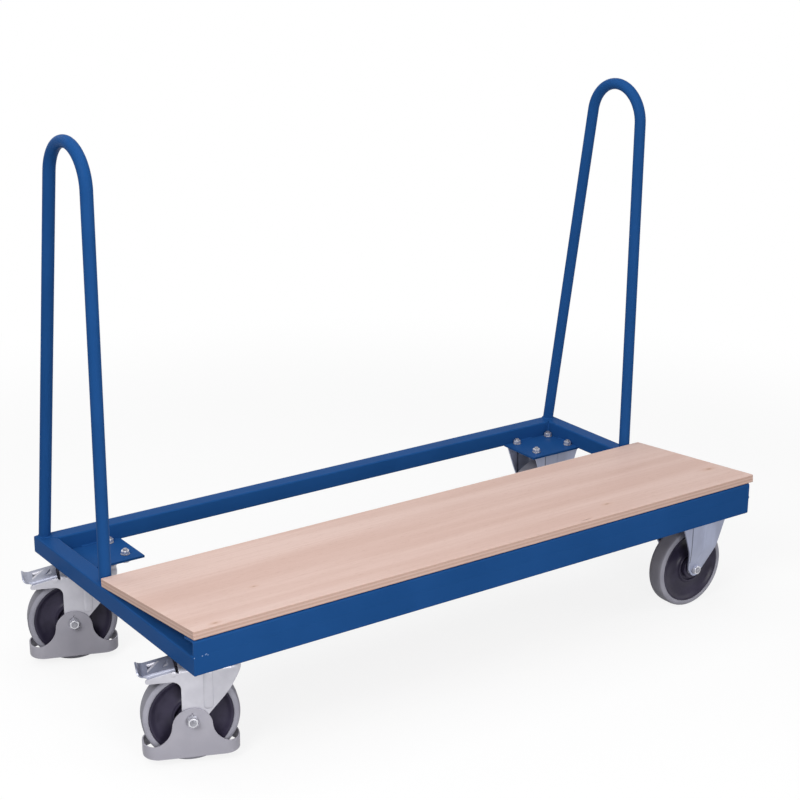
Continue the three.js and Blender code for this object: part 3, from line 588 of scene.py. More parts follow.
# Weld spatter at the seam on the front face: nearly flat specks in a pale paint that is a painted highlight on them.
speck_size = np.array([0.0014, 0.00003, 0.0011])
specks_along = [0.0012, 0.019, 0.0262, 0.0278, 0.031]
specks_rise = [0.0, 0.0004, 0.0012, 0.0022, -0.0006]
spatter_highlight_paint = finish(
    "spatter_highlight_paint",
    light=srgb(150, 178, 218),
    dark=srgb(120, 150, 196),
    cloud=(300, 300, 300),
    grain=(420, 420, 420),
    smooth=0.3,
    rough=0.4,
    bump=0.1,
    depth=0.0004,
)


def highlight_speck(place):
    """Pale speck on the paint, a painted highlight on weld spatter: a ball flattened onto the face, as rings of
    latitude between its poles.
    """
    turn = np.linspace(0, 2 * np.pi, 14, endpoint=False)
    rise = np.linspace(-1.4, 1.4, 8)[:, None]
    ball = np.stack([np.cos(rise) * np.cos(turn), np.cos(rise) * np.sin(turn), np.sin(rise) + 0 * turn], axis=-1)
    return carried(place + speck_size * ball)


speck_places = zip(frame_left + np.array(specks_along), frame_top + np.array(specks_rise))
highlight_specks = [highlight_speck((along, frame_front, height)) for along, height in speck_places]
make_piece("seam_highlight_specks", highlight_specks, spatter_highlight_paint, "frame")

# Mount plates: flat steel welded into the frame's corners, flush with its underside, with stitch welds on top.
plate_welds = []
for corner in ("front_left", "rear_left", "front_right", "rear_right"):
    plate = corner + "_mount_plate"
    bpy.data.objects[plate].data.materials[0] = blue_paint
    low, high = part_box(plate)
    middle = (low + high) / 2
    side_x = frame_left + tube_size if "left" in corner else frame_right - tube_size
    side_y = frame_front + tube_size if "front" in corner else frame_rear - tube_size
    facing_x = 1 if "left" in corner else -1
    facing_y = 1 if "front" in corner else -1
    seam = (side_x, middle.y - stitch_length / 2, high.z), (side_x, middle.y + stitch_length / 2, high.z)
    plate_welds.append(straight_bead(*seam, (facing_x, 0, 1), 0.007, 0.0026))
    seam = (middle.x - stitch_length / 2, side_y, high.z), (middle.x + stitch_length / 2, side_y, high.z)
    plate_welds.append(straight_bead(*seam, (0, facing_y, 1), 0.007, 0.0026))
make_piece("mount_plate_welds", plate_welds, blue_paint, "frame")


# Deck: one board of beech plywood, sawn and sanded with its corners rounded, laid on the riser and the
# support. The plies show at its edges, and the face has a few knots and a short crack.
def slab(outline, low, high, ease, steps=4):
    """Plate with eased edges: the outline goes up through the thickness, and at both faces it is drawn in
    along its own normals on a quarter round."""
    ahead = np.roll(outline, -1, axis=0) - np.roll(outline, 1, axis=0)
    outward = np.column_stack([ahead[:, 1], -ahead[:, 0]]) / np.linalg.norm(ahead, axis=1)[:, None]
    turn = np.linspace(0, np.pi / 2, steps)
    inset = ease * np.concatenate([1 - np.sin(turn), 1 - np.cos(turn)])
    height = np.concatenate([low + ease * (1 - np.cos(turn)), high - ease * (1 - np.sin(turn))])
    rings = np.empty((2 * steps, len(outline), 3))
    rings[..., :2] = outline - inset[:, None, None] * outward
    rings[..., 2] = height[:, None]
    return carried(rings)


def rectangle(length, width):
    """Corners of a rectangle round the middle, turning left."""
    return np.array([(-1, -1), (1, -1), (1, 1), (-1, 1)]) * (length / 2, width / 2)


board_thickness = 0.018
board_corner = 0.0035
board_ease = 0.0012
ply_count = 5
deck_low, deck_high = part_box("deck")
deck_centre = np.array(deck_mount["pos_m"])
deck_length = deck_high.x - deck_low.x
deck_depth = (deck_high.y - deck_low.y - board_thickness * board_normal[1]) / board_normal[2]
board_axes = np.stack([(1, 0, 0), (0, board_normal[2], -board_normal[1]), board_normal])
board_outline = eased(rectangle(deck_length, deck_depth), board_corner, 10)
board_points, board_faces = slab(board_outline, -board_thickness, 0, board_ease)

beech_veneer = bpy.data.materials.new("beech_veneer")
beech_veneer.use_nodes = True
veneer = beech_veneer.node_tree
veneer.nodes.clear()
veneer_place = add_node(veneer, "ShaderNodeTexCoord").outputs["Object"]
figure = noise(veneer, veneer_place, (1.1, 14, 14), 4.0, (4, 2, 0))
streak = noise(veneer, veneer_place, (2.5, 160, 160), 3.0, (1, 5, 0))
fleck = noise(veneer, veneer_place, (55, 900, 900), 1.0, (8, 3, 0))
wood = mixed(veneer, ramp(veneer, figure, 0.3, 0.7), srgb(220, 187, 175), srgb(232, 204, 194))
wood = mixed(veneer, ramp(veneer, streak, 0.42, 0.72, 0.0, 0.22), wood, srgb(209, 173, 157))
wood = mixed(veneer, ramp(veneer, fleck, 0.62, 0.78, 0.0, 0.4), wood, srgb(176, 130, 108))
knots = [(-0.6927, -0.352, 0.0036), (0.7199, -0.2605, 0.006), (0.3579, -0.301, 0.004), (-0.531, -0.2256, 0.003)]
knot_stretch = (0.5, 1, 0)
crack = (0.2493, -0.3557, 0.0022)
crack_stretch = (0.1, 1, 0)
flat_place = add_node(veneer, "ShaderNodeVectorMath", {0: veneer_place, 1: (1, 1, 0)}, operation="MULTIPLY").outputs[0]


def spot(stretch, x, y, size):
    """Mask that falls from 1 at a place on the board to 0 at the given size across the grain."""
    scaled = add_node(veneer, "ShaderNodeVectorMath", {0: flat_place, 1: stretch}, operation="MULTIPLY").outputs[0]
    middle = ((frame_middle + x) * stretch[0], y * stretch[1], 0)
    away = add_node(veneer, "ShaderNodeVectorMath", {0: scaled, 1: middle}, operation="DISTANCE").outputs["Value"]
    ragged = math(veneer, "MULTIPLY_ADD", streak, size, away)
    return ramp(veneer, ragged, 0.6 * size, 1.5 * size, 1.0, 0.0)


for x, y, size in knots:
    wood = mixed(veneer, spot(knot_stretch, x, y, 3 * size), wood, srgb(218, 182, 166))
    wood = mixed(veneer, spot(knot_stretch, x, y, size), wood, srgb(188, 147, 126))
wood = mixed(veneer, spot(crack_stretch, *crack), wood, srgb(140, 96, 72))
veneer_relief = add_node(veneer, "ShaderNodeBump", {"Strength": 0.25, "Distance": 0.0004, "Height": streak})
veneer_surface = add_node(
    veneer,
    "ShaderNodeBsdfPrincipled",
    {
        "Base Color": wood,
        "Roughness": ramp(veneer, fleck, 0.2, 0.8, 0.5, 0.65),
        "Normal": veneer_relief.outputs["Normal"],
        "Specular IOR Level": 0.3,
    },
)
add_node(veneer, "ShaderNodeOutputMaterial", {"Surface": veneer_surface.outputs[0]})

ply_edge = bpy.data.materials.new("ply_edge")
ply_edge.use_nodes = True
plies = ply_edge.node_tree
plies.nodes.clear()
ply_place = add_node(plies, "ShaderNodeTexCoord").outputs["Object"]
above = add_node(
    plies, "ShaderNodeVectorMath", {0: ply_place, 1: tuple(deck_centre)}, operation="SUBTRACT"
).outputs[0]
height_in_board = add_node(
    plies, "ShaderNodeVectorMath", {0: above, 1: tuple(board_normal)}, operation="DOT_PRODUCT"
).outputs["Value"]
wander = math(plies, "MULTIPLY_ADD", noise(plies, ply_place, (9, 9, 9), 2.0), 0.16, -0.08)
ply_number = math(plies, "MULTIPLY_ADD", height_in_board, ply_count / board_thickness, wander)
in_pair = math(plies, "PINGPONG", ply_number, 1.0)
end_grain = ramp(plies, in_pair, 0.4, 0.6)
pores = noise(plies, ply_place, (700, 700, 1500), 1.0)
long_grain = noise(plies, ply_place, (12, 12, 900), 3.0)
pale_ply = mixed(plies, long_grain, srgb(220, 191, 180), srgb(207, 176, 163))
brown_ply = mixed(plies, ramp(plies, pores, 0.35, 0.7), srgb(208, 175, 161), srgb(191, 157, 142))
ply_colour = mixed(plies, end_grain, pale_ply, brown_ply)
glue_line = ramp(plies, math(plies, "ABSOLUTE", math(plies, "SUBTRACT", in_pair, 0.5)), 0.03, 0.09, 0.22, 0.0)
ply_colour = mixed(plies, glue_line, ply_colour, srgb(166, 130, 114))
ply_relief = add_node(plies, "ShaderNodeBump", {"Strength": 0.3, "Distance": 0.0003, "Height": pores})
ply_surface = add_node(
    plies,
    "ShaderNodeBsdfPrincipled",
    {
        "Base Color": ply_colour,
        "Roughness": ramp(plies, pores, 0.2, 0.8, 0.6, 0.75),
        "Normal": ply_relief.outputs["Normal"],
        "Specular IOR Level": 0.25,
    },
)
add_node(plies, "ShaderNodeOutputMaterial", {"Surface": ply_surface.outputs[0]})



def more_materials(piece, materials, choice):
    """Give a piece more materials: each face takes the one with the number that is chosen for it."""
    for material in materials:
        piece.data.materials.append(material)
    piece.data.polygons.foreach_set("material_index", np.asarray(choice, np.int32))


board_patch = (deck_centre + board_points @ board_axes, board_faces)
board = make_piece("deck_board", [board_patch], beech_veneer, "frame", ["deck"])
board_normals = np.empty(len(board.data.polygons) * 3)
board.data.polygons.foreach_get("normal", board_normals)
more_materials(board, [ply_edge], np.abs(board_normals.reshape(-1, 3) @ board_normal) < 0.9)


# Caster plates and swivel heads: pressed steel, zinc plated and passivated, with the ball race's cup pressed
# into each swivel plate. They are bolted to the mount plates.
def upright(profile, facets):
    """Closed profile of (radius, height) points turned about the upright axis."""
    angle = np.linspace(0, 2 * np.pi, facets, endpoint=False)
    radius, height = np.asarray(profile, float).T
    rings = np.empty((len(radius), facets, 3))
    rings[..., 0] = radius[:, None] * np.cos(angle)
    rings[..., 1] = radius[:, None] * np.sin(angle)
    rings[..., 2] = height[:, None]
    return grid_patch(rings, close_rows=True, close_columns=True)


def moved(patch, offset):
    """A patch shifted by an offset."""
    return patch[0] + offset, patch[1]


zinc = finish(
    "zinc_plate",
    light=srgb(206, 205, 213),
    dark=srgb(194, 193, 202),
    cloud=(26, 26, 26),
    grain=(650, 650, 650),
    smooth=0.36,
    rough=0.46,
    bump=0.06,
    depth=0.0003,
    Metallic=0.45,
)

swivel_corners = ("front_left", "rear_left")
fixed_corners = ("front_right", "rear_right")
plate_corner = 0.012
plate_ease = 0.0007
cup_facets = 72
plate_under = 0.235
cup_profile = [
    (0.03, 0.2262),
    (0.041, 0.2262),
    (0.0425, 0.2276),
    (0.044, 0.231),
    (0.047, 0.2345),
    (0.048, 0.2352),
    (0.03, 0.2352),
]
race_profile = [
    (0.036, 0.2183),
    (0.0451, 0.2183),
    (0.0465, 0.2197),
    (0.0465, 0.2243),
    (0.0451, 0.2257),
    (0.036, 0.2257),
]
joints = {joint["name"]: joint for joint in frame["joints"]}
for corner in swivel_corners:
    low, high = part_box(corner + "_top_plate")
    middle = np.array([(low.x + high.x) / 2, (low.y + high.y) / 2, 0])
    outline = eased(rectangle(high.x - low.x, high.y - low.y), plate_corner, 8)
    plate = slab(outline, plate_under, high.z, plate_ease)
    cup = upright(cup_profile, cup_facets)
    patches = [moved(plate, middle), moved(cup, middle)]
    make_piece(corner + "_top_plate_pressing", patches, zinc, "frame", [corner + "_top_plate"])
    race = moved(upright(eased(race_profile, 0.0012, 4), cup_facets), middle)
    make_piece(corner + "_race_ring", [race], zinc, "frame", [corner + "_swivel_race"])
    bpy.data.objects[corner + "_king_bolt"].data.materials[0] = zinc


# Plate bolts: four hexagon bolts with washers through each caster plate and mount plate, nuts on top. The heads and
# nuts are lighter than the pressings as a painted highlight, and the washers and thread ends darker as painted shade;
# all are the same zinc.
highlight_bolt_zinc = finish(
    "highlight_bolt_zinc",
    light=srgb(222, 222, 228),
    dark=srgb(206, 206, 213),
    cloud=(90, 90, 90),
    grain=(650, 650, 650),
    smooth=0.2,
    rough=0.3,
    bump=0.04,
    depth=0.0002,
    Metallic=0.6,
)
shaded_thread_zinc = finish(
    "shaded_thread_zinc",
    light=srgb(170, 170, 178),
    dark=srgb(142, 142, 150),
    cloud=(200, 200, 200),
    grain=(900, 900, 900),
    smooth=0.3,
    rough=0.42,
    bump=0.1,
    depth=0.0002,
    Metallic=0.6,
)
def hex_block(flats, height, rim=0.002, dish=0.0008, facets=72):
    """Hexagon nut or bolt head on its axis: the radius is half the flats over the cosine of the angle to the
    nearest flat, and a 30 degree cone cuts its far corners. Inside a rim its far face is dished."""
    angle = np.linspace(0, 2 * np.pi, facets, endpoint=False)
    from_flat = (angle + np.pi / 6) % (np.pi / 3) - np.pi / 6
    radius = flats / 2 / np.cos(from_flat)
    crown = 0.475 * flats
    bevel = height - (radius - crown) * np.tan(np.pi / 6)
    radii = [radius, radius] + [np.full(facets, ring) for ring in (crown, crown - rim, crown - 1.6 * rim)]
    heights = [np.zeros(facets), bevel] + [np.full(facets, height - drop) for drop in (0, 0, dish)]
    radii, heights = np.stack(radii), np.stack(heights)
    return carried(np.stack([radii * np.cos(angle), radii * np.sin(angle), heights], axis=-1))


def disc(radius, low, high, ease=0.0004, facets=48):
    """Round plate with eased edges."""
    angle = np.linspace(0, 2 * np.pi, facets, endpoint=False)
    return slab(radius * np.column_stack([np.cos(angle), np.sin(angle)]), low, high, ease, 3)


bolt_spacing = (0.105, 0.08)
bolt_flats = 0.017
bolt_head = 0.0064
plate_nut = 0.008
bolt_washer_radius = 0.0105
bolt_washer = 0.0018
bolt_radius = 0.005
bolt_end = 0.004
for corner in swivel_corners + fixed_corners:
    plate_node = corner + ("_top_plate" if corner in swivel_corners else "_fork")
    low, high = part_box(plate_node)
    middle = np.array([(low.x + high.x) / 2, (low.y + high.y) / 2, 0])
    plate_low, plate_high = high.z - 0.005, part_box(corner + "_mount_plate")[1].z
    hexagons, threads = [], []
    for turn, place in enumerate(rectangle(*bolt_spacing)):
        angle = 0.5 * turn + place[0] * 20
        twist = np.array([(np.cos(angle), np.sin(angle), 0), (-np.sin(angle), np.cos(angle), 0), (0, 0, 1)])
        at = middle + np.append(place, 0)
        head, head_faces = hex_block(bolt_flats, bolt_head)
        nut, nut_faces = hex_block(bolt_flats, plate_nut)
        under = at + (0, 0, plate_low - bolt_washer)
        over = at + (0, 0, plate_high + bolt_washer)
        hexagons.append((under + head @ twist * (1, 1, -1), head_faces))
        hexagons.append((over + nut @ twist, nut_faces))
        threads.append(moved(disc(bolt_washer_radius, plate_low - bolt_washer, plate_low), at))
        threads.append(moved(disc(bolt_washer_radius, plate_high, plate_high + bolt_washer), at))
        nut_top = plate_high + bolt_washer + plate_nut
        threads.append(moved(disc(bolt_radius, nut_top - 0.001, nut_top + bolt_end, 0.0008, 32), at))
    make_piece(corner + "_plate_bolts_hex", hexagons, highlight_bolt_zinc, "frame")
    make_piece(corner + "_plate_bolts_washers", threads, shaded_thread_zinc, "frame")


# Swivel forks: one steel pressing each, zinc plated. The crown bends down into two legs that taper to the
# axle, a round skirt closes the front, and two arms reach back to the brake pedal's pin.
def caster_axes(corner):
    """Middle of a wheel, and its forward, across and up directions as rows."""
    across = np.array(joints[corner + "_spin"]["axis"])
    return np.array(joints[corner + "_spin"]["pos_m"]), np.stack([np.cross(across, (0, 0, 1)), across, (0, 0, 1)])


def on_caster(corner, patch):
    """A patch given as forward, across and up from the middle of the wheel, put where the caster stands."""
    middle, axes = caster_axes(corner)
    return middle + patch[0] @ axes, patch[1]


def face_places(corner, piece):
    """Middle of each face of a piece, as forward, across and up from the middle of the caster's wheel."""
    middle, axes = caster_axes(corner)
    centres = np.empty(len(piece.data.polygons) * 3)
    piece.data.polygons.foreach_get("center", centres)
    return (centres.reshape(-1, 3) - middle) @ axes.T


def arc(centre, radius, start, end, steps=12):
    """Points of an arc, with its start and end in degrees from the first axis."""
    angle = np.radians(np.linspace(start, end, steps))
    return np.asarray(centre) + radius * np.column_stack([np.cos(angle), np.sin(angle)])


def respaced(line, count):
    """The same line with its points at even distances."""
    length = np.concatenate([[0], np.cumsum(np.linalg.norm(np.diff(line, axis=0), axis=1))])
    even = np.linspace(0, length[-1], count)
    return np.column_stack([np.interp(even, length, line[:, axis]) for axis in range(line.shape[1])])


fork_wall = 0.004
fork_half = 0.036
crown_top = 0.1135
crown_bend = 0.009
crown_rear = -0.024
nose_start = 0.045
nose_reach = 0.0585
nose_power = 3.4
nose_steps = 61
wall_steps = 10
lower_edge = np.array([(0.045, 0.0224), (0.0665, 0.047), (0.08, 0.0645), (0.0852, 0.073), (0.1035, 0.101)])
leg_foot = 0.02
leg_foot_turn = -39.1
nose_turn = np.linspace(-np.pi / 2, np.pi / 2, 2000)
nose_line = np.column_stack(
    [
        nose_start + nose_reach * np.cos(nose_turn) ** (2 / nose_power),
        fork_half * np.sign(np.sin(nose_turn)) * np.abs(np.sin(nose_turn)) ** (2 / nose_power),
    ]
)
nose_line = respaced(nose_line, nose_steps)
nose_line[[0, -1], 0] = nose_start
nose_line[[0, -1], 1] = -fork_half, fork_half
nose_out = np.column_stack(
    [
        (np.maximum(nose_line[:, 0] - nose_start, 0) / nose_reach) ** (nose_power - 1) / nose_reach,
        np.sign(nose_line[:, 1]) * (np.abs(nose_line[:, 1]) / fork_half) ** (nose_power - 1) / fork_half,
    ]
)
nose_out /= np.linalg.norm(nose_out, axis=1)[:, None]
rear_line = np.array([(crown_rear, -fork_half)])
plan_line = np.vstack([rear_line, nose_line, rear_line * (1, -1)])
plan_out = np.vstack([[(0, -1)], nose_out, [(0, 1)]])


def fork_skin():
    """Outer skin of the pressing: a flat crown, a quarter-round bend along its plan line, the nose wall down to
    its slanting lower edge, and a flat leg with its arm on each side."""
    turn = np.linspace(0, np.pi / 2, 7)[:, None]
    inner = plan_line - crown_bend * plan_out
    bend = np.empty((7, len(plan_line), 3))
    bend[..., :2] = inner + crown_bend * np.sin(turn)[..., None] * plan_out
    bend[..., 2] = crown_top - crown_bend * (1 - np.cos(turn))
    crown = np.column_stack([inner, np.full(len(inner), crown_top)])
    wall_top = crown_top - crown_bend
    lower = np.interp(nose_line[:, 0], *lower_edge.T)
    share = np.linspace(0, 1, wall_steps)[:, None]
    wall = np.empty((wall_steps, nose_steps, 3))
    wall[..., :2] = nose_line
    wall[..., 2] = wall_top + share * (lower - wall_top)
    front_edge = np.column_stack([np.full(wall_steps, nose_start), wall[:, 0, 2]])
    side = np.vstack(
        [
            [(crown_rear, wall_top)],
            front_edge,
            arc((0, 0), leg_foot, leg_foot_turn, -180, 24),
            arc((-0.039, 0.068), 0.019, 0, 90, 10),
            arc((-0.0855, 0.0921), 0.0051, 270, 100, 10),
            [(-0.036, 0.109), (-0.032, 0.1088), (-0.0295, 0.1076), (-0.0275, 0.1055)],
        ]
    )
    patches = [grid_patch(bend), (crown, [np.arange(len(crown))[None]]), grid_patch(wall)]
    for across in (-fork_half, fork_half):
        leg = np.column_stack([side[:, 0], np.full(len(side), across), side[:, 1]])
        patches.append((leg, [np.arange(len(leg))[None]]))
    return patches


def lying(patch):
    """A patch built upright laid over, so that its height runs across the wheel."""
    return patch[0][:, [0, 2, 1]], patch[1]


rib_low, rib_high = 0.0215, 0.1075
rib_rear, rib_front = 0.0235, 0.044
rib_steps = np.array(
    [(0.0, -0.001), (0.0004, 0.0004), (0.0015, 0.0013), (0.003, 0.0021), (0.005, 0.0026), (0.0072, 0.0028)]
)


def raised_rib(across):
    """Pad pressed out of a leg: its outline is drawn in as it rises."""
    middle = np.array([(rib_rear + rib_front) / 2, (rib_low + rib_high) / 2])
    half = np.array([(rib_front - rib_rear) / 2, (rib_high - rib_low) / 2])
    inset, height = rib_steps.T
    corners = np.array([(-1, -1), (1, -1), (1, 1), (-1, 1)])
    outlines = np.stack([middle + eased(corners * (half - step), 0.007, 6) for step in inset])
    rings = np.empty((*outlines.shape[:2], 3))
    rings[..., 0] = outlines[..., 0]
    rings[..., 2] = outlines[..., 1]
    rings[..., 1] = np.sign(across) * (fork_half + height)[:, None]
    return carried(rings)


head_profile = [(0.0, 0.1125), (0.043, 0.1125), (0.043, 0.114), (0.0405, 0.1172), (0.039, 0.118), (0.0, 0.118)]
king_forward = 0.059
for corner in swivel_corners:
    body = corner + "_swivel"
    skin = [on_caster(corner, patch) for patch in fork_skin()]
    make_piece(
        corner + "_fork_pressing", skin, zinc, body, [corner + "_fork"], wall=fork_wall, edge=0.0008
    )
    head = moved(upright(head_profile, cup_facets), (king_forward, 0, 0))
    extras = [head, raised_rib(-fork_half), raised_rib(fork_half)]
    make_piece(corner + "_fork_head", [on_caster(corner, patch) for patch in extras], zinc, body)

# Fixed forks: two pressed legs under a plate, zinc plated. Each leg is wide at the plate, narrows to a round
# end at the axle, leans outward above a bend, and has a tapering raised panel.
leg_bend, leg_knee = 0.0, 0.058
knee_half, leg_top_half = 0.0585, 0.0605
bend_softness = 0.007
leg_end = 0.017
leg_shoulder = np.array([0.024, 0.003])
leg_reach = 0.0695
leg_top = 0.135
panel_halves = 0.0068, 0.0178, 0.019
panel_shift = -0.0165
panel_depth = 0.0014
panel_step = 0.004
panel_start = 0.022
# The fixed forks' zinc is darker and bluer than the swivel forks' zinc: a painted reflection of darker surroundings on
# the same plating.
fixed_zinc_painted_darker = finish(
    "fixed_zinc_painted_darker",
    light=srgb(174, 180, 204),
    dark=srgb(156, 161, 183),
    cloud=(26, 26, 8),
    grain=(650, 650, 650),
    smooth=0.34,
    rough=0.44,
    bump=0.06,
    depth=0.0003,
    Metallic=0.45,
)
# Dark zinc that paints shade: along one wall of each fixed leg's sunk panel, and in the pedals' stamped hollows.
painted_shade_zinc = finish(
    "painted_shade_zinc",
    light=srgb(82, 88, 106),
    dark=srgb(66, 71, 88),
    cloud=(60, 60, 60),
    grain=(650, 650, 650),
    smooth=0.3,
    rough=0.42,
    bump=0.06,
    depth=0.0003,
    Metallic=0.5,
)


def soft_ramp(value):
    """Half the value plus half the root of its square and the softness squared: 0 below, the value above."""
    return (value + np.sqrt(value**2 + bend_softness**2)) / 2


def panel_half(height):
    """Half the width of the sunk panel, which grows evenly from the leg's end to its knee and to its top."""
    return np.interp(height, [leg_end, leg_knee, leg_top], panel_halves)


def fixed_leg(sign):
    """Outer skin of a leg on a grid of heights and places along the wheel. Half its width follows the round
    end, then a short tangent to the shoulder, then the straight edge to the plate."""
    steep = np.arctan2(leg_shoulder[1], leg_shoulder[0]) - np.arccos(leg_end / np.hypot(*leg_shoulder))
    end_turn = np.linspace(-np.pi / 2, steep, 16)
    shares = np.linspace(0, 1, 20)[1:, None]
    touch = leg_end * np.array([np.cos(steep), np.sin(steep)])
    side = np.vstack(
        [
            leg_end * np.column_stack([np.cos(end_turn), np.sin(end_turn)]),
            touch + shares[4::5] * (leg_shoulder - touch),
            leg_shoulder + shares * ((leg_reach, leg_top) - leg_shoulder),
        ]
    )
    half, height = side[:, :1], side[:, 1:]
    panel = np.minimum(panel_half(height), 0.72 * half)
    inner = np.linspace(0, 1, 7) * panel
    slope = panel + np.linspace(0, 1, 5)[1:] * np.minimum(panel_step, 0.6 * (half - panel))
    outer = slope[:, -1:] + np.linspace(0, 1, 6)[1:] * (half - slope[:, -1:])
    places = np.hstack([inner, slope, outer])
    places = np.hstack([-places[:, :0:-1], places])
    start = np.clip((height - leg_end + 0.004) / 0.008, 0, 1)
    start = start**2 * (3 - 2 * start)
    places += start * panel_shift * np.minimum((half - np.abs(places)) / np.maximum(half - slope[:, -1:], 1e-6), 1)
    step = np.concatenate([np.ones(7), 0.5 + 0.5 * np.cos(np.pi * np.linspace(0, 1, 5)[1:]), np.zeros(5)])
    fall = np.concatenate([step[:0:-1], step])
    sunk = panel_depth * fall * start
    lower_lean = (knee_half - fork_half) / (leg_knee - leg_bend)
    upper_lean = (leg_top_half - knee_half) / (leg_top - leg_knee)
    lean = fork_half + lower_lean * soft_ramp(height - leg_bend)
    lean += (upper_lean - lower_lean) * soft_ramp(height - leg_knee)
    grid = np.empty((*places.shape, 3))
    grid[..., 0] = places
    grid[..., 1] = sign * (lean - sunk)
    grid[..., 2] = height
    return grid_patch(grid)


fixed_plate = 0.005
for corner in fixed_corners:
    low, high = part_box(corner + "_fork")
    outline = eased(rectangle(high.x - low.x, high.y - low.y), plate_corner, 8)
    plate = slab(outline, leg_top, leg_top + fixed_plate, plate_ease)
    make_piece(
        corner + "_fork_plate", [on_caster(corner, plate)], fixed_zinc_painted_darker, "frame", [corner + "_fork"]
    )
    for side, sign in (("front", -1), ("rear", 1)):
        leg = on_caster(corner, fixed_leg(sign))
        leg = make_piece(
            corner + "_fork_" + side + "_leg", [leg], fixed_zinc_painted_darker, "frame", wall=fork_wall, edge=0.0006
        )
        # The faces along the crease wall of the sunk panel take the dark zinc as painted shade.
        along, _, height = face_places(corner, leg).T
        past_crease = along - panel_shift + panel_half(height) + panel_step / 2
        more_materials(leg, [painted_shade_zinc], (np.abs(past_crease) < panel_step / 2) & (height > panel_start))

# Foot guards: grey moulded plastic rings round each swivel wheel, open below, that keep feet clear. The wall
# rises in a dome at each axle, falls through two hollows, and runs level round the ends.
guard_wall = 0.0035
guard_half_length = 0.0985
guard_half_width = 0.0398
guard_corner = 0.034
guard_bottom = -0.082
guard_level = -0.0545
dome_centre, dome_radius = -0.014, 0.041
hollow_centre, hollow_radius = -0.0085, 0.046
hollow_place = 0.08683
dome_edge = 0.04092
guard_stations = 420
guard_round = 0.0011
recess_radius, recess_depth = 0.0142, 0.0014
pin_hole_radius, pin_hole_height = 0.0016, 0.0162
guard_plastic = finish(
    "guard_plastic",
    light=srgb(180, 178, 188),
    dark=srgb(170, 168, 179),
    cloud=(14, 14, 14),
    grain=(900, 900, 900),
    smooth=0.42,
    rough=0.52,
    bump=0.08,
    depth=0.0003,
    **{"Specular IOR Level": 0.3},
)


def guard_height(forward):
    """Top edge by distance from the axle: a dome, a hollow that meets it, then level."""
    away = np.abs(forward)
    dome = dome_centre + np.sqrt(np.maximum(dome_radius**2 - away**2, 0))
    hollow = hollow_centre - np.sqrt(np.maximum(hollow_radius**2 - (away - hollow_place) ** 2, 0))
    return np.where(away < dome_edge, dome, np.where(away < hollow_place, hollow, guard_level))


def guard_shell():
    """Closed wall: a section with four rounded corners goes round the plan. Near the top edge its points step
    down along that edge's own normal, so the edge stays round where the dome is steep."""
    quarter = [arc((0, 0), guard_corner, start, start + 90, 80) for start in (0, 90, 180, 270)]
    inset = (guard_half_length - guard_corner, guard_half_width - guard_corner)
    signs = [(1, 1), (-1, 1), (-1, -1), (1, -1)]
    plan = np.vstack([corner + np.array(sign) * inset for corner, sign in zip(quarter, signs)])
    plan = respaced(np.vstack([plan, plan[:1]]), 6000)
    rim = np.column_stack([plan, guard_height(plan[:, 0])])
    rim = respaced(rim, guard_stations + 1)[:-1]
    ahead = np.roll(rim, -1, axis=0) - np.roll(rim, 1, axis=0)
    flat = ahead[:, :2] / np.linalg.norm(ahead[:, :2], axis=1)[:, None]
    outward = np.column_stack([flat[:, 1], -flat[:, 0], np.zeros(len(flat))])
    climb = np.column_stack([np.sum(ahead[:, :2] * flat, axis=1), ahead[:, 2]])
    climb /= np.linalg.norm(climb, axis=1)[:, None]
    down = np.column_stack([flat * climb[:, 1:], -climb[:, 0]])
    bottom = rim * (1, 1, 0) + (0, 0, guard_bottom)
    step = 0.3 * guard_round
    low_edge = [(guard_round, 0), (step, step), (0, guard_round)]
    rows = [bottom - depth * outward + (0, 0, lift) for depth, lift in low_edge]
    rows += [rim - depth * outward + drop * down for depth, drop in [(0, guard_round), (step, step), (guard_round, 0)]]
    far = [(guard_wall - depth, drop) for depth, drop in [(guard_round, 0), (step, step), (0, guard_round)]]
    rows += [rim - depth * outward + drop * down for depth, drop in far]
    far = [(guard_wall - depth, lift) for depth, lift in [(0, guard_round), (step, step), (guard_round, 0)]]
    rows += [bottom - depth * outward + (0, 0, lift) for depth, lift in far]
    return grid_patch(np.stack(rows), close_rows=True, close_columns=True)


def cutter(corner, patches):
    """Mesh object that a boolean takes away from the guard."""
    mesh = bpy.data.meshes.new("cutter")
    placed = [on_caster(corner, patch) for patch in patches]
    firsts = np.cumsum([0] + [len(points) for points, _ in placed])
    faces = [face for (_, groups), first in zip(placed, firsts) for group in groups for face in (group + first).tolist()]
    mesh.from_pydata(np.concatenate([points for points, _ in placed]).tolist(), [], faces)
    shell = bmesh.new()
    shell.from_mesh(mesh)
    bmesh.ops.recalc_face_normals(shell, faces=shell.faces)
    shell.to_mesh(mesh)
    shell.free()
    tool = bpy.data.objects.new("cutter", mesh)
    scene.collection.objects.link(tool)
    return tool


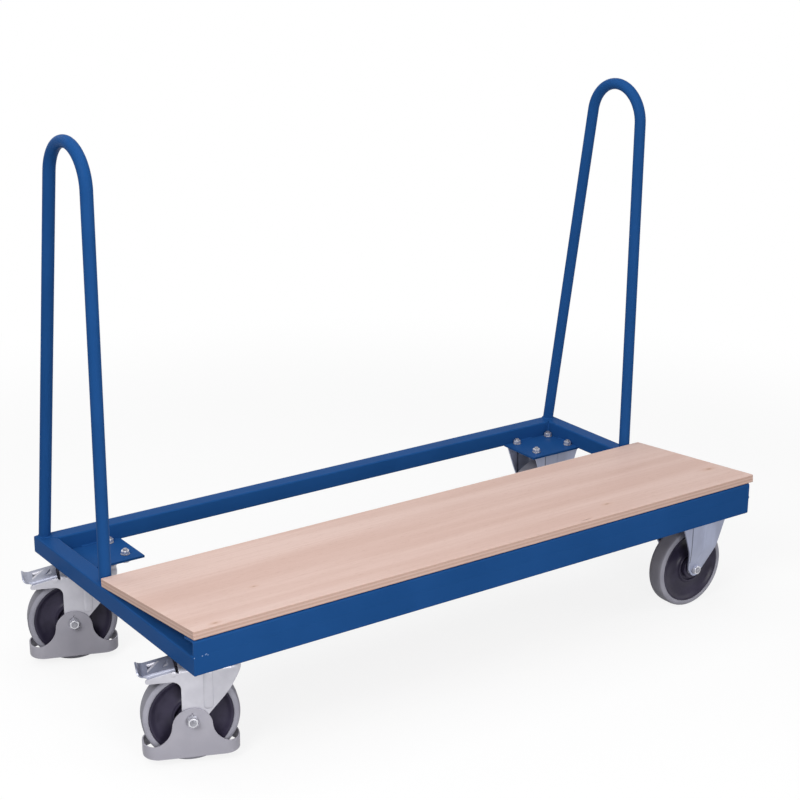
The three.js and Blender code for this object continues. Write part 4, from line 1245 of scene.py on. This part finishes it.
for corner in swivel_corners:
    body = corner + "_swivel"
    guard = make_piece(
        corner + "_guard_moulding", [on_caster(corner, guard_shell())], guard_plastic, body,
        [corner + "_foot_guard"], crease=30,
    )
    sunk = guard_half_width - recess_depth
    cuts = []
    for side in (-1, 1):
        low, high = sorted((side * sunk, side * 2 * guard_half_width))
        cuts.append(lying(disc(recess_radius, low, high, 1e-5, 72)))
    cut_low, cut_high = -2 * guard_half_width, 2 * guard_half_width
    cuts.append(lying(moved(disc(pin_hole_radius, cut_low, cut_high, 1e-5, 20), (0, pin_hole_height, 0))))
    tool = cutter(corner, cuts)
    difference = guard.modifiers.new("recess", "BOOLEAN")
    difference.operation = "DIFFERENCE"
    difference.solver = "EXACT"
    difference.object = tool
    guard.modifiers.move(len(guard.modifiers) - 1, 0)
    weighted = guard.modifiers["weighted_normals"]
    guard.modifiers.remove(weighted)
    cut_mesh = bpy.data.meshes.new_from_object(guard.evaluated_get(bpy.context.evaluated_depsgraph_get()))
    guard.modifiers.clear()
    cut_mesh.name = guard.name
    guard.data = cut_mesh
    bpy.data.objects.remove(tool)
    cut_mesh.set_sharp_from_angle(angle=np.radians(30))
    smoothing = guard.modifiers.new("weighted_normals", "WEIGHTED_NORMAL")
    smoothing.keep_sharp = True


# Wheels: grey elastic rubber moulded round a dark plastic centre.
def turned(profile, facets):
    """Closed profile of (radius, across) points turned about the axle."""
    angle = np.linspace(0, 2 * np.pi, facets, endpoint=False)
    radius, across = np.asarray(profile, float).T
    rings = np.empty((len(radius), facets, 3))
    rings[..., 0] = radius[:, None] * np.cos(angle)
    rings[..., 1] = across[:, None]
    rings[..., 2] = radius[:, None] * np.sin(angle)
    return grid_patch(rings, close_rows=True, close_columns=True)


def both_sides(half):
    """Profile from one half: the half as given, then its mirror image backwards."""
    half = np.asarray(half, float)
    return np.vstack([half, half[::-1] * (1, -1)])


tyre_rubber = finish(
    "tyre_rubber",
    light=srgb(173, 172, 184),
    dark=srgb(157, 156, 168),
    cloud=(18, 18, 18),
    grain=(380, 380, 380),
    smooth=0.55,
    rough=0.68,
    bump=0.1,
    depth=0.0004,
    **{"Specular IOR Level": 0.3},
)
# The tread takes a darker copy of the same rubber as painted shade.
shaded_tread_rubber = finish(
    "shaded_tread_rubber",
    light=srgb(149, 148, 158),
    dark=srgb(134, 133, 143),
    cloud=(18, 18, 18),
    grain=(380, 380, 380),
    smooth=0.6,
    rough=0.72,
    bump=0.12,
    depth=0.0004,
    **{"Specular IOR Level": 0.3},
)
hub_plastic = finish(
    "hub_plastic",
    light=srgb(58, 54, 72),
    dark=srgb(45, 41, 59),
    cloud=(30, 30, 30),
    grain=(800, 800, 800),
    smooth=0.3,
    rough=0.4,
    bump=0.06,
    depth=0.0003,
    **{"Specular IOR Level": 0.2},
)
wheel_facets = 128
tyre_half = eased(
    [
        (0.0862, 0.0),
        (0.0862, 0.0208),
        (0.088, 0.0217),
        (0.0925, 0.0223),
        (0.0985, 0.0186),
        (0.1, 0.012),
        (0.1, 0.0012),
        (0.1, 0.0005),
        (0.1, 0.0),
    ],
    [0, 0.0008, 0.0015, 0.004, 0.0042, 0.004, 0, 0, 0],
)
hub_half = eased(
    [
        (0.0163, 0.0),
        (0.0163, 0.0272),
        (0.0175, 0.028),
        (0.0245, 0.028),
        (0.026, 0.0268),
        (0.0268, 0.0155),
        (0.0325, 0.0155),
        (0.0332, 0.0212),
        (0.0345, 0.0222),
        (0.0362, 0.0222),
        (0.0375, 0.0208),
        (0.0385, 0.0165),
        (0.046, 0.0118),
        (0.06, 0.0108),
        (0.074, 0.0142),
        (0.0808, 0.0194),
        (0.0828, 0.0204),
        (0.0857, 0.0204),
        (0.0857, 0.0),
    ],
    [0, 0.0006, 0.0006, 0.001, 0.001, 0.001, 0.001, 0.0008, 0.0008, 0.0008, 0.0012, 0.003, 0.006, 0.006, 0.004]
    + [0.0014, 0.0012, 0.0004, 0],
)
bearing_half = [
    (0.0102, 0.0),
    (0.0102, 0.0276),
    (0.0105, 0.0279),
    (0.012, 0.0279),
    (0.0122, 0.0272),
    (0.0136, 0.0272),
    (0.0138, 0.0279),
    (0.0157, 0.0279),
    (0.016, 0.0276),
    (0.016, 0.0),
]
sleeve_half = [(0.0062, 0.0), (0.0062, 0.0312), (0.0065, 0.0315), (0.0097, 0.0315), (0.01, 0.0312), (0.01, 0.0)]
tread_from = 0.0978
for corner in swivel_corners + fixed_corners:
    body = corner + "_wheel"
    tyre = on_caster(corner, turned(both_sides(tyre_half), wheel_facets))
    ring = make_piece(corner + "_tyre_ring", [tyre], tyre_rubber, body, [corner + "_tyre"], crease=40)
    # Faces beyond tread_from take the rubber with the painted shade.
    from_axle = np.linalg.norm(face_places(corner, ring)[:, [0, 2]], axis=1)
    more_materials(ring, [shaded_tread_rubber], from_axle > tread_from)
    hub = on_caster(corner, turned(both_sides(hub_half), wheel_facets))
    make_piece(corner + "_hub_moulding", [hub], hub_plastic, body, [corner + "_hub"], crease=40)
    bearing = on_caster(corner, turned(both_sides(bearing_half), 64))
    make_piece(corner + "_bearing_ring", [bearing], zinc, body, [corner + "_wheel_bearing"])
    holder = corner + "_swivel" if corner in swivel_corners else "frame"
    sleeve = on_caster(corner, turned(both_sides(sleeve_half), 48))
    make_piece(corner + "_sleeve_tube", [sleeve], zinc, holder, [corner + "_axle_sleeve"])

# Axles: a zinc plated hexagon bolt through each fork, with a washer under its head and its nut. It also holds
# the foot guard on the swivel casters.
axle_radius = 0.006
axle_flats = 0.019
axle_head = 0.0075
lock_nut, low_nut = 0.012, 0.0065
axle_washer_radius = 0.0118
axle_washer = 0.0016
axle_end = 0.0018
swivel_seat = guard_half_width - recess_depth
fixed_seat = 0.0377
for corner in swivel_corners + fixed_corners:
    swivel = corner in swivel_corners
    holder = corner + "_swivel" if swivel else "frame"
    seat = swivel_seat if swivel else fixed_seat
    axle_nut = lock_nut if swivel else low_nut
    rest = seat + axle_washer
    head, head_faces = hex_block(axle_flats, axle_head)
    nut, nut_faces = hex_block(axle_flats, axle_nut)
    # The head and nut take the zinc with the painted highlight, and the shank and washers the zinc with the painted
    # shade.
    bolt_head = on_caster(corner, lying((head + (0, 0, rest), head_faces)))
    make_piece(corner + "_axle_bolt_hex", [bolt_head], highlight_bolt_zinc, holder, [corner + "_axle_bolt"], crease=25)
    bolt_nut = on_caster(corner, lying(((nut + (0, 0, rest)) * (1, 1, -1), nut_faces)))
    make_piece(corner + "_axle_nut_hex", [bolt_nut], highlight_bolt_zinc, holder, [corner + "_axle_nut"], crease=25)
    shank = [
        disc(axle_radius, -rest - axle_nut - axle_end, rest, 0.0008, 40),
        disc(axle_washer_radius, seat, rest, 0.0003, 48),
        disc(axle_washer_radius, -rest, -seat, 0.0003, 48),
    ]
    shank = [on_caster(corner, lying(patch)) for patch in shank]
    make_piece(corner + "_axle_shank", shank, shaded_thread_zinc, holder, crease=25)

# Brake pedals: folded steel treads, zinc plated, that tilt on a riveted pin between the fork's arms. The toe
# curls up, and two triangles are stamped into the tread. A block under each tread presses on the tyre.
pedal_pivot = np.array([-0.034, 0.0, 0.104])
pedal_slope = np.radians(12)
pedal_axes = np.array(
    [
        (-np.cos(pedal_slope), 0, -np.sin(pedal_slope)),
        (0, 1, 0),
        (-np.sin(pedal_slope), 0, np.cos(pedal_slope)),
    ]
)
pedal_wall = 0.003
pedal_half = 0.0305
pedal_top = 0.0084
pedal_rear = -0.005
tread_end = 0.0572
curl_radius = 0.0125
curl_angle = np.radians(98)
toe_bow = 0.002
toe_corner = 0.0175
side_bend = 0.003
toe_stamp = (0.049, 0.017), (-0.022, -0.029)
heel_stamp = (0.005, -0.014), (0.017, 0.029)
toe_stamp_depth, heel_stamp_depth = 0.0022, 0.0014
stamp_slope = 0.0016
# Painted light on the tread: the toe stamp and a strip of the heel stamp take the dark zinc as painted shade, and
# bands along the stamps and a rib beside the toe stamp take the lighter zinc as painted highlights.
highlight_band = 0.009
rib_band = 1.28
pedal_zinc = finish(
    "pedal_zinc",
    light=srgb(158, 161, 177),
    dark=srgb(142, 145, 162),
    cloud=(40, 40, 40),
    grain=(650, 650, 650),
    smooth=0.28,
    rough=0.38,
    bump=0.06,
    depth=0.0003,
    Metallic=0.5,
)


def smooth_step(value):
    """0 below 0, 1 above 1, and smooth between."""
    value = np.clip(value, 0, 1)
    return value**2 * (3 - 2 * value)


def in_triangle(run, out, corner, reach):
    """Depth inside a triangle with its right angle at a corner and its legs along and across the tread: the
    least of the distances from its three sides, below 0 outside."""
    along, across = (run - corner[0]) / reach[0], (out - corner[1]) / reach[1]
    slant = (1 - along - across) / np.hypot(1 / reach[0], 1 / reach[1])
    return np.minimum(np.minimum(along * abs(reach[0]), across * abs(reach[1])), slant)


def pedal_skin():
    """Upper skin on a grid. Along it runs the flat tread and then the curl of the toe. Across it come a flange,
    a bend, the flat, and again a bend and a flange; the bends open out towards the toe."""
    along = np.concatenate([np.linspace(pedal_rear, tread_end, 84), tread_end + curl_radius * np.linspace(0, curl_angle, 26)[1:]])
    fold = (np.pi / 2) * (1 - smooth_step((along - 0.05) / 0.014))[:, None]
    past_corner = np.maximum(along - (along[-1] - toe_corner), 0)[:, None]
    narrowed = pedal_half - toe_corner + np.sqrt(toe_corner**2 - past_corner**2)
    narrowed = np.where(past_corner > 0, narrowed, pedal_half)
    lug = [-0.005, -0.004, -0.002, 0.0, 0.002, 0.0046, 0.01, 0.016, 0.05, 0.06, 0.09]
    lug_bottom = [-0.0042, -0.0051, -0.0062, -0.0065, -0.0062, -0.0046, 0.0005, 0.003, 0.0035, 0.006, 0.006]
    flange = np.maximum(pedal_top - side_bend - np.interp(along, lug, lug_bottom), 0)[:, None] * np.sin(fold)
    flat = narrowed - side_bend * np.sin(fold)
    flat_share = np.linspace(0, 1, 41)[None]
    bend_share = np.linspace(0, 1, 6)[None, 1:]
    flange_share = np.linspace(0, 1, 5)[None, 1:]
    bend_out = flat + side_bend * np.sin(fold * bend_share)
    bend_down = side_bend * (1 - np.cos(fold * bend_share))
    flange_out = bend_out[:, -1:] + flange * flange_share * np.cos(fold)
    flange_down = bend_down[:, -1:] + flange * flange_share * np.sin(fold)
    out = np.hstack([flat * flat_share, bend_out, flange_out])
    down = np.hstack([np.zeros((len(along), 41)), bend_down, flange_down])
    out = np.hstack([-out[:, :0:-1], out])
    down = np.hstack([down[:, :0:-1], down])
    run = along[:, None] + toe_bow * smooth_step((along[:, None] - 0.05) / 0.03) * (1 - (out / pedal_half) ** 2)
    turn = np.clip((run - tread_end) / curl_radius, 0, None)
    reach = np.where(turn > 0, tread_end + curl_radius * np.sin(turn), run)
    lift = np.where(turn > 0, curl_radius * (1 - np.cos(turn)), 0)
    normal_along, normal_up = -np.sin(turn), np.cos(turn)
    sunk = down + toe_stamp_depth * smooth_step(in_triangle(run, out, *toe_stamp) / stamp_slope)
    sunk += heel_stamp_depth * smooth_step(in_triangle(run, out, *heel_stamp) / stamp_slope)
    grid = np.empty((*out.shape, 3))
    grid[..., 0] = reach - sunk * normal_along
    grid[..., 1] = out
    grid[..., 2] = pedal_top + lift - sunk * normal_up
    return grid_patch(grid)


shoe_radius = 0.107
shoe_half = 0.016
shoe_rear, shoe_front = -0.066, -0.048
shoe_top = pedal_top - pedal_wall
pin_radius = 0.004
rivet_profile = [(0.0, 0.0), (0.0062, 0.0), (0.0062, 0.0004), (0.0048, 0.0012), (0.0025, 0.00155), (0.0, 0.0016)]
for corner in swivel_corners:
    body = corner + "_pedal"
    points, faces = pedal_skin()
    tread = on_caster(corner, (pedal_pivot + points @ pedal_axes, faces))
    pedal = make_piece(
        corner + "_pedal_tread", [tread], pedal_zinc, body, [corner + "_brake_pedal"],
        wall=pedal_wall, edge=0.0006,
    )
    run, out, _ = ((face_places(corner, pedal) - pedal_pivot) @ pedal_axes.T).T
    # Faces of the stamps and of the bands beside them are chosen for the painted shade and the painted highlights.
    in_toe, in_heel = in_triangle(run, out, *toe_stamp), in_triangle(run, out, *heel_stamp)
    heel_shade = (in_heel > 0) & (out < heel_stamp[0][1] + stamp_slope)
    heel_highlight = (in_heel > stamp_slope) & (out < heel_stamp[0][1] + stamp_slope + highlight_band)
    toe_highlight = (in_toe > 0) & (out > toe_stamp[0][1] - highlight_band)
    rib_highlight = (in_toe <= 0) & (in_triangle(run, out, toe_stamp[0], rib_band * np.array(toe_stamp[1])) > 0)
    painted_highlight = toe_highlight | heel_highlight | rib_highlight
    choice = np.where(painted_highlight, 2, np.where((in_toe > 0) | heel_shade, 1, 0))
    more_materials(pedal, [painted_shade_zinc, zinc], choice)
    forward = np.linspace(shoe_rear, shoe_front, 13)
    hollow = np.column_stack([forward, np.sqrt(shoe_radius**2 - forward**2)])
    along = np.linspace(0.0335, 0.0135, 5)
    back = (pedal_pivot + np.column_stack([along, 0 * along, np.full(5, shoe_top)]) @ pedal_axes)[:, [0, 2]]
    shoe = lying(slab(eased(np.vstack([hollow, back[::-1]]), 0.0006, 3), -shoe_half, shoe_half, 0.0008))
    make_piece(
        corner + "_shoe_block", [on_caster(corner, shoe)], hub_plastic, body, [corner + "_brake_shoe"]
    )
    pin = [lying(moved(disc(pin_radius, -fork_half, fork_half, 0.0003, 32), (pedal_pivot[0], pedal_pivot[2], 0)))]
    for side in (-1, 1):
        points, faces = upright(rivet_profile, 40)
        rivet = lying(((points + (0, 0, fork_half)) * (1, 1, side), faces))
        pin.append(moved(rivet, (pedal_pivot[0], 0, pedal_pivot[2])))
    make_piece(
        corner + "_pin_rivet", [on_caster(corner, patch) for patch in pin], zinc, corner + "_swivel",
        [corner + "_pedal_pin"], crease=25,
    )
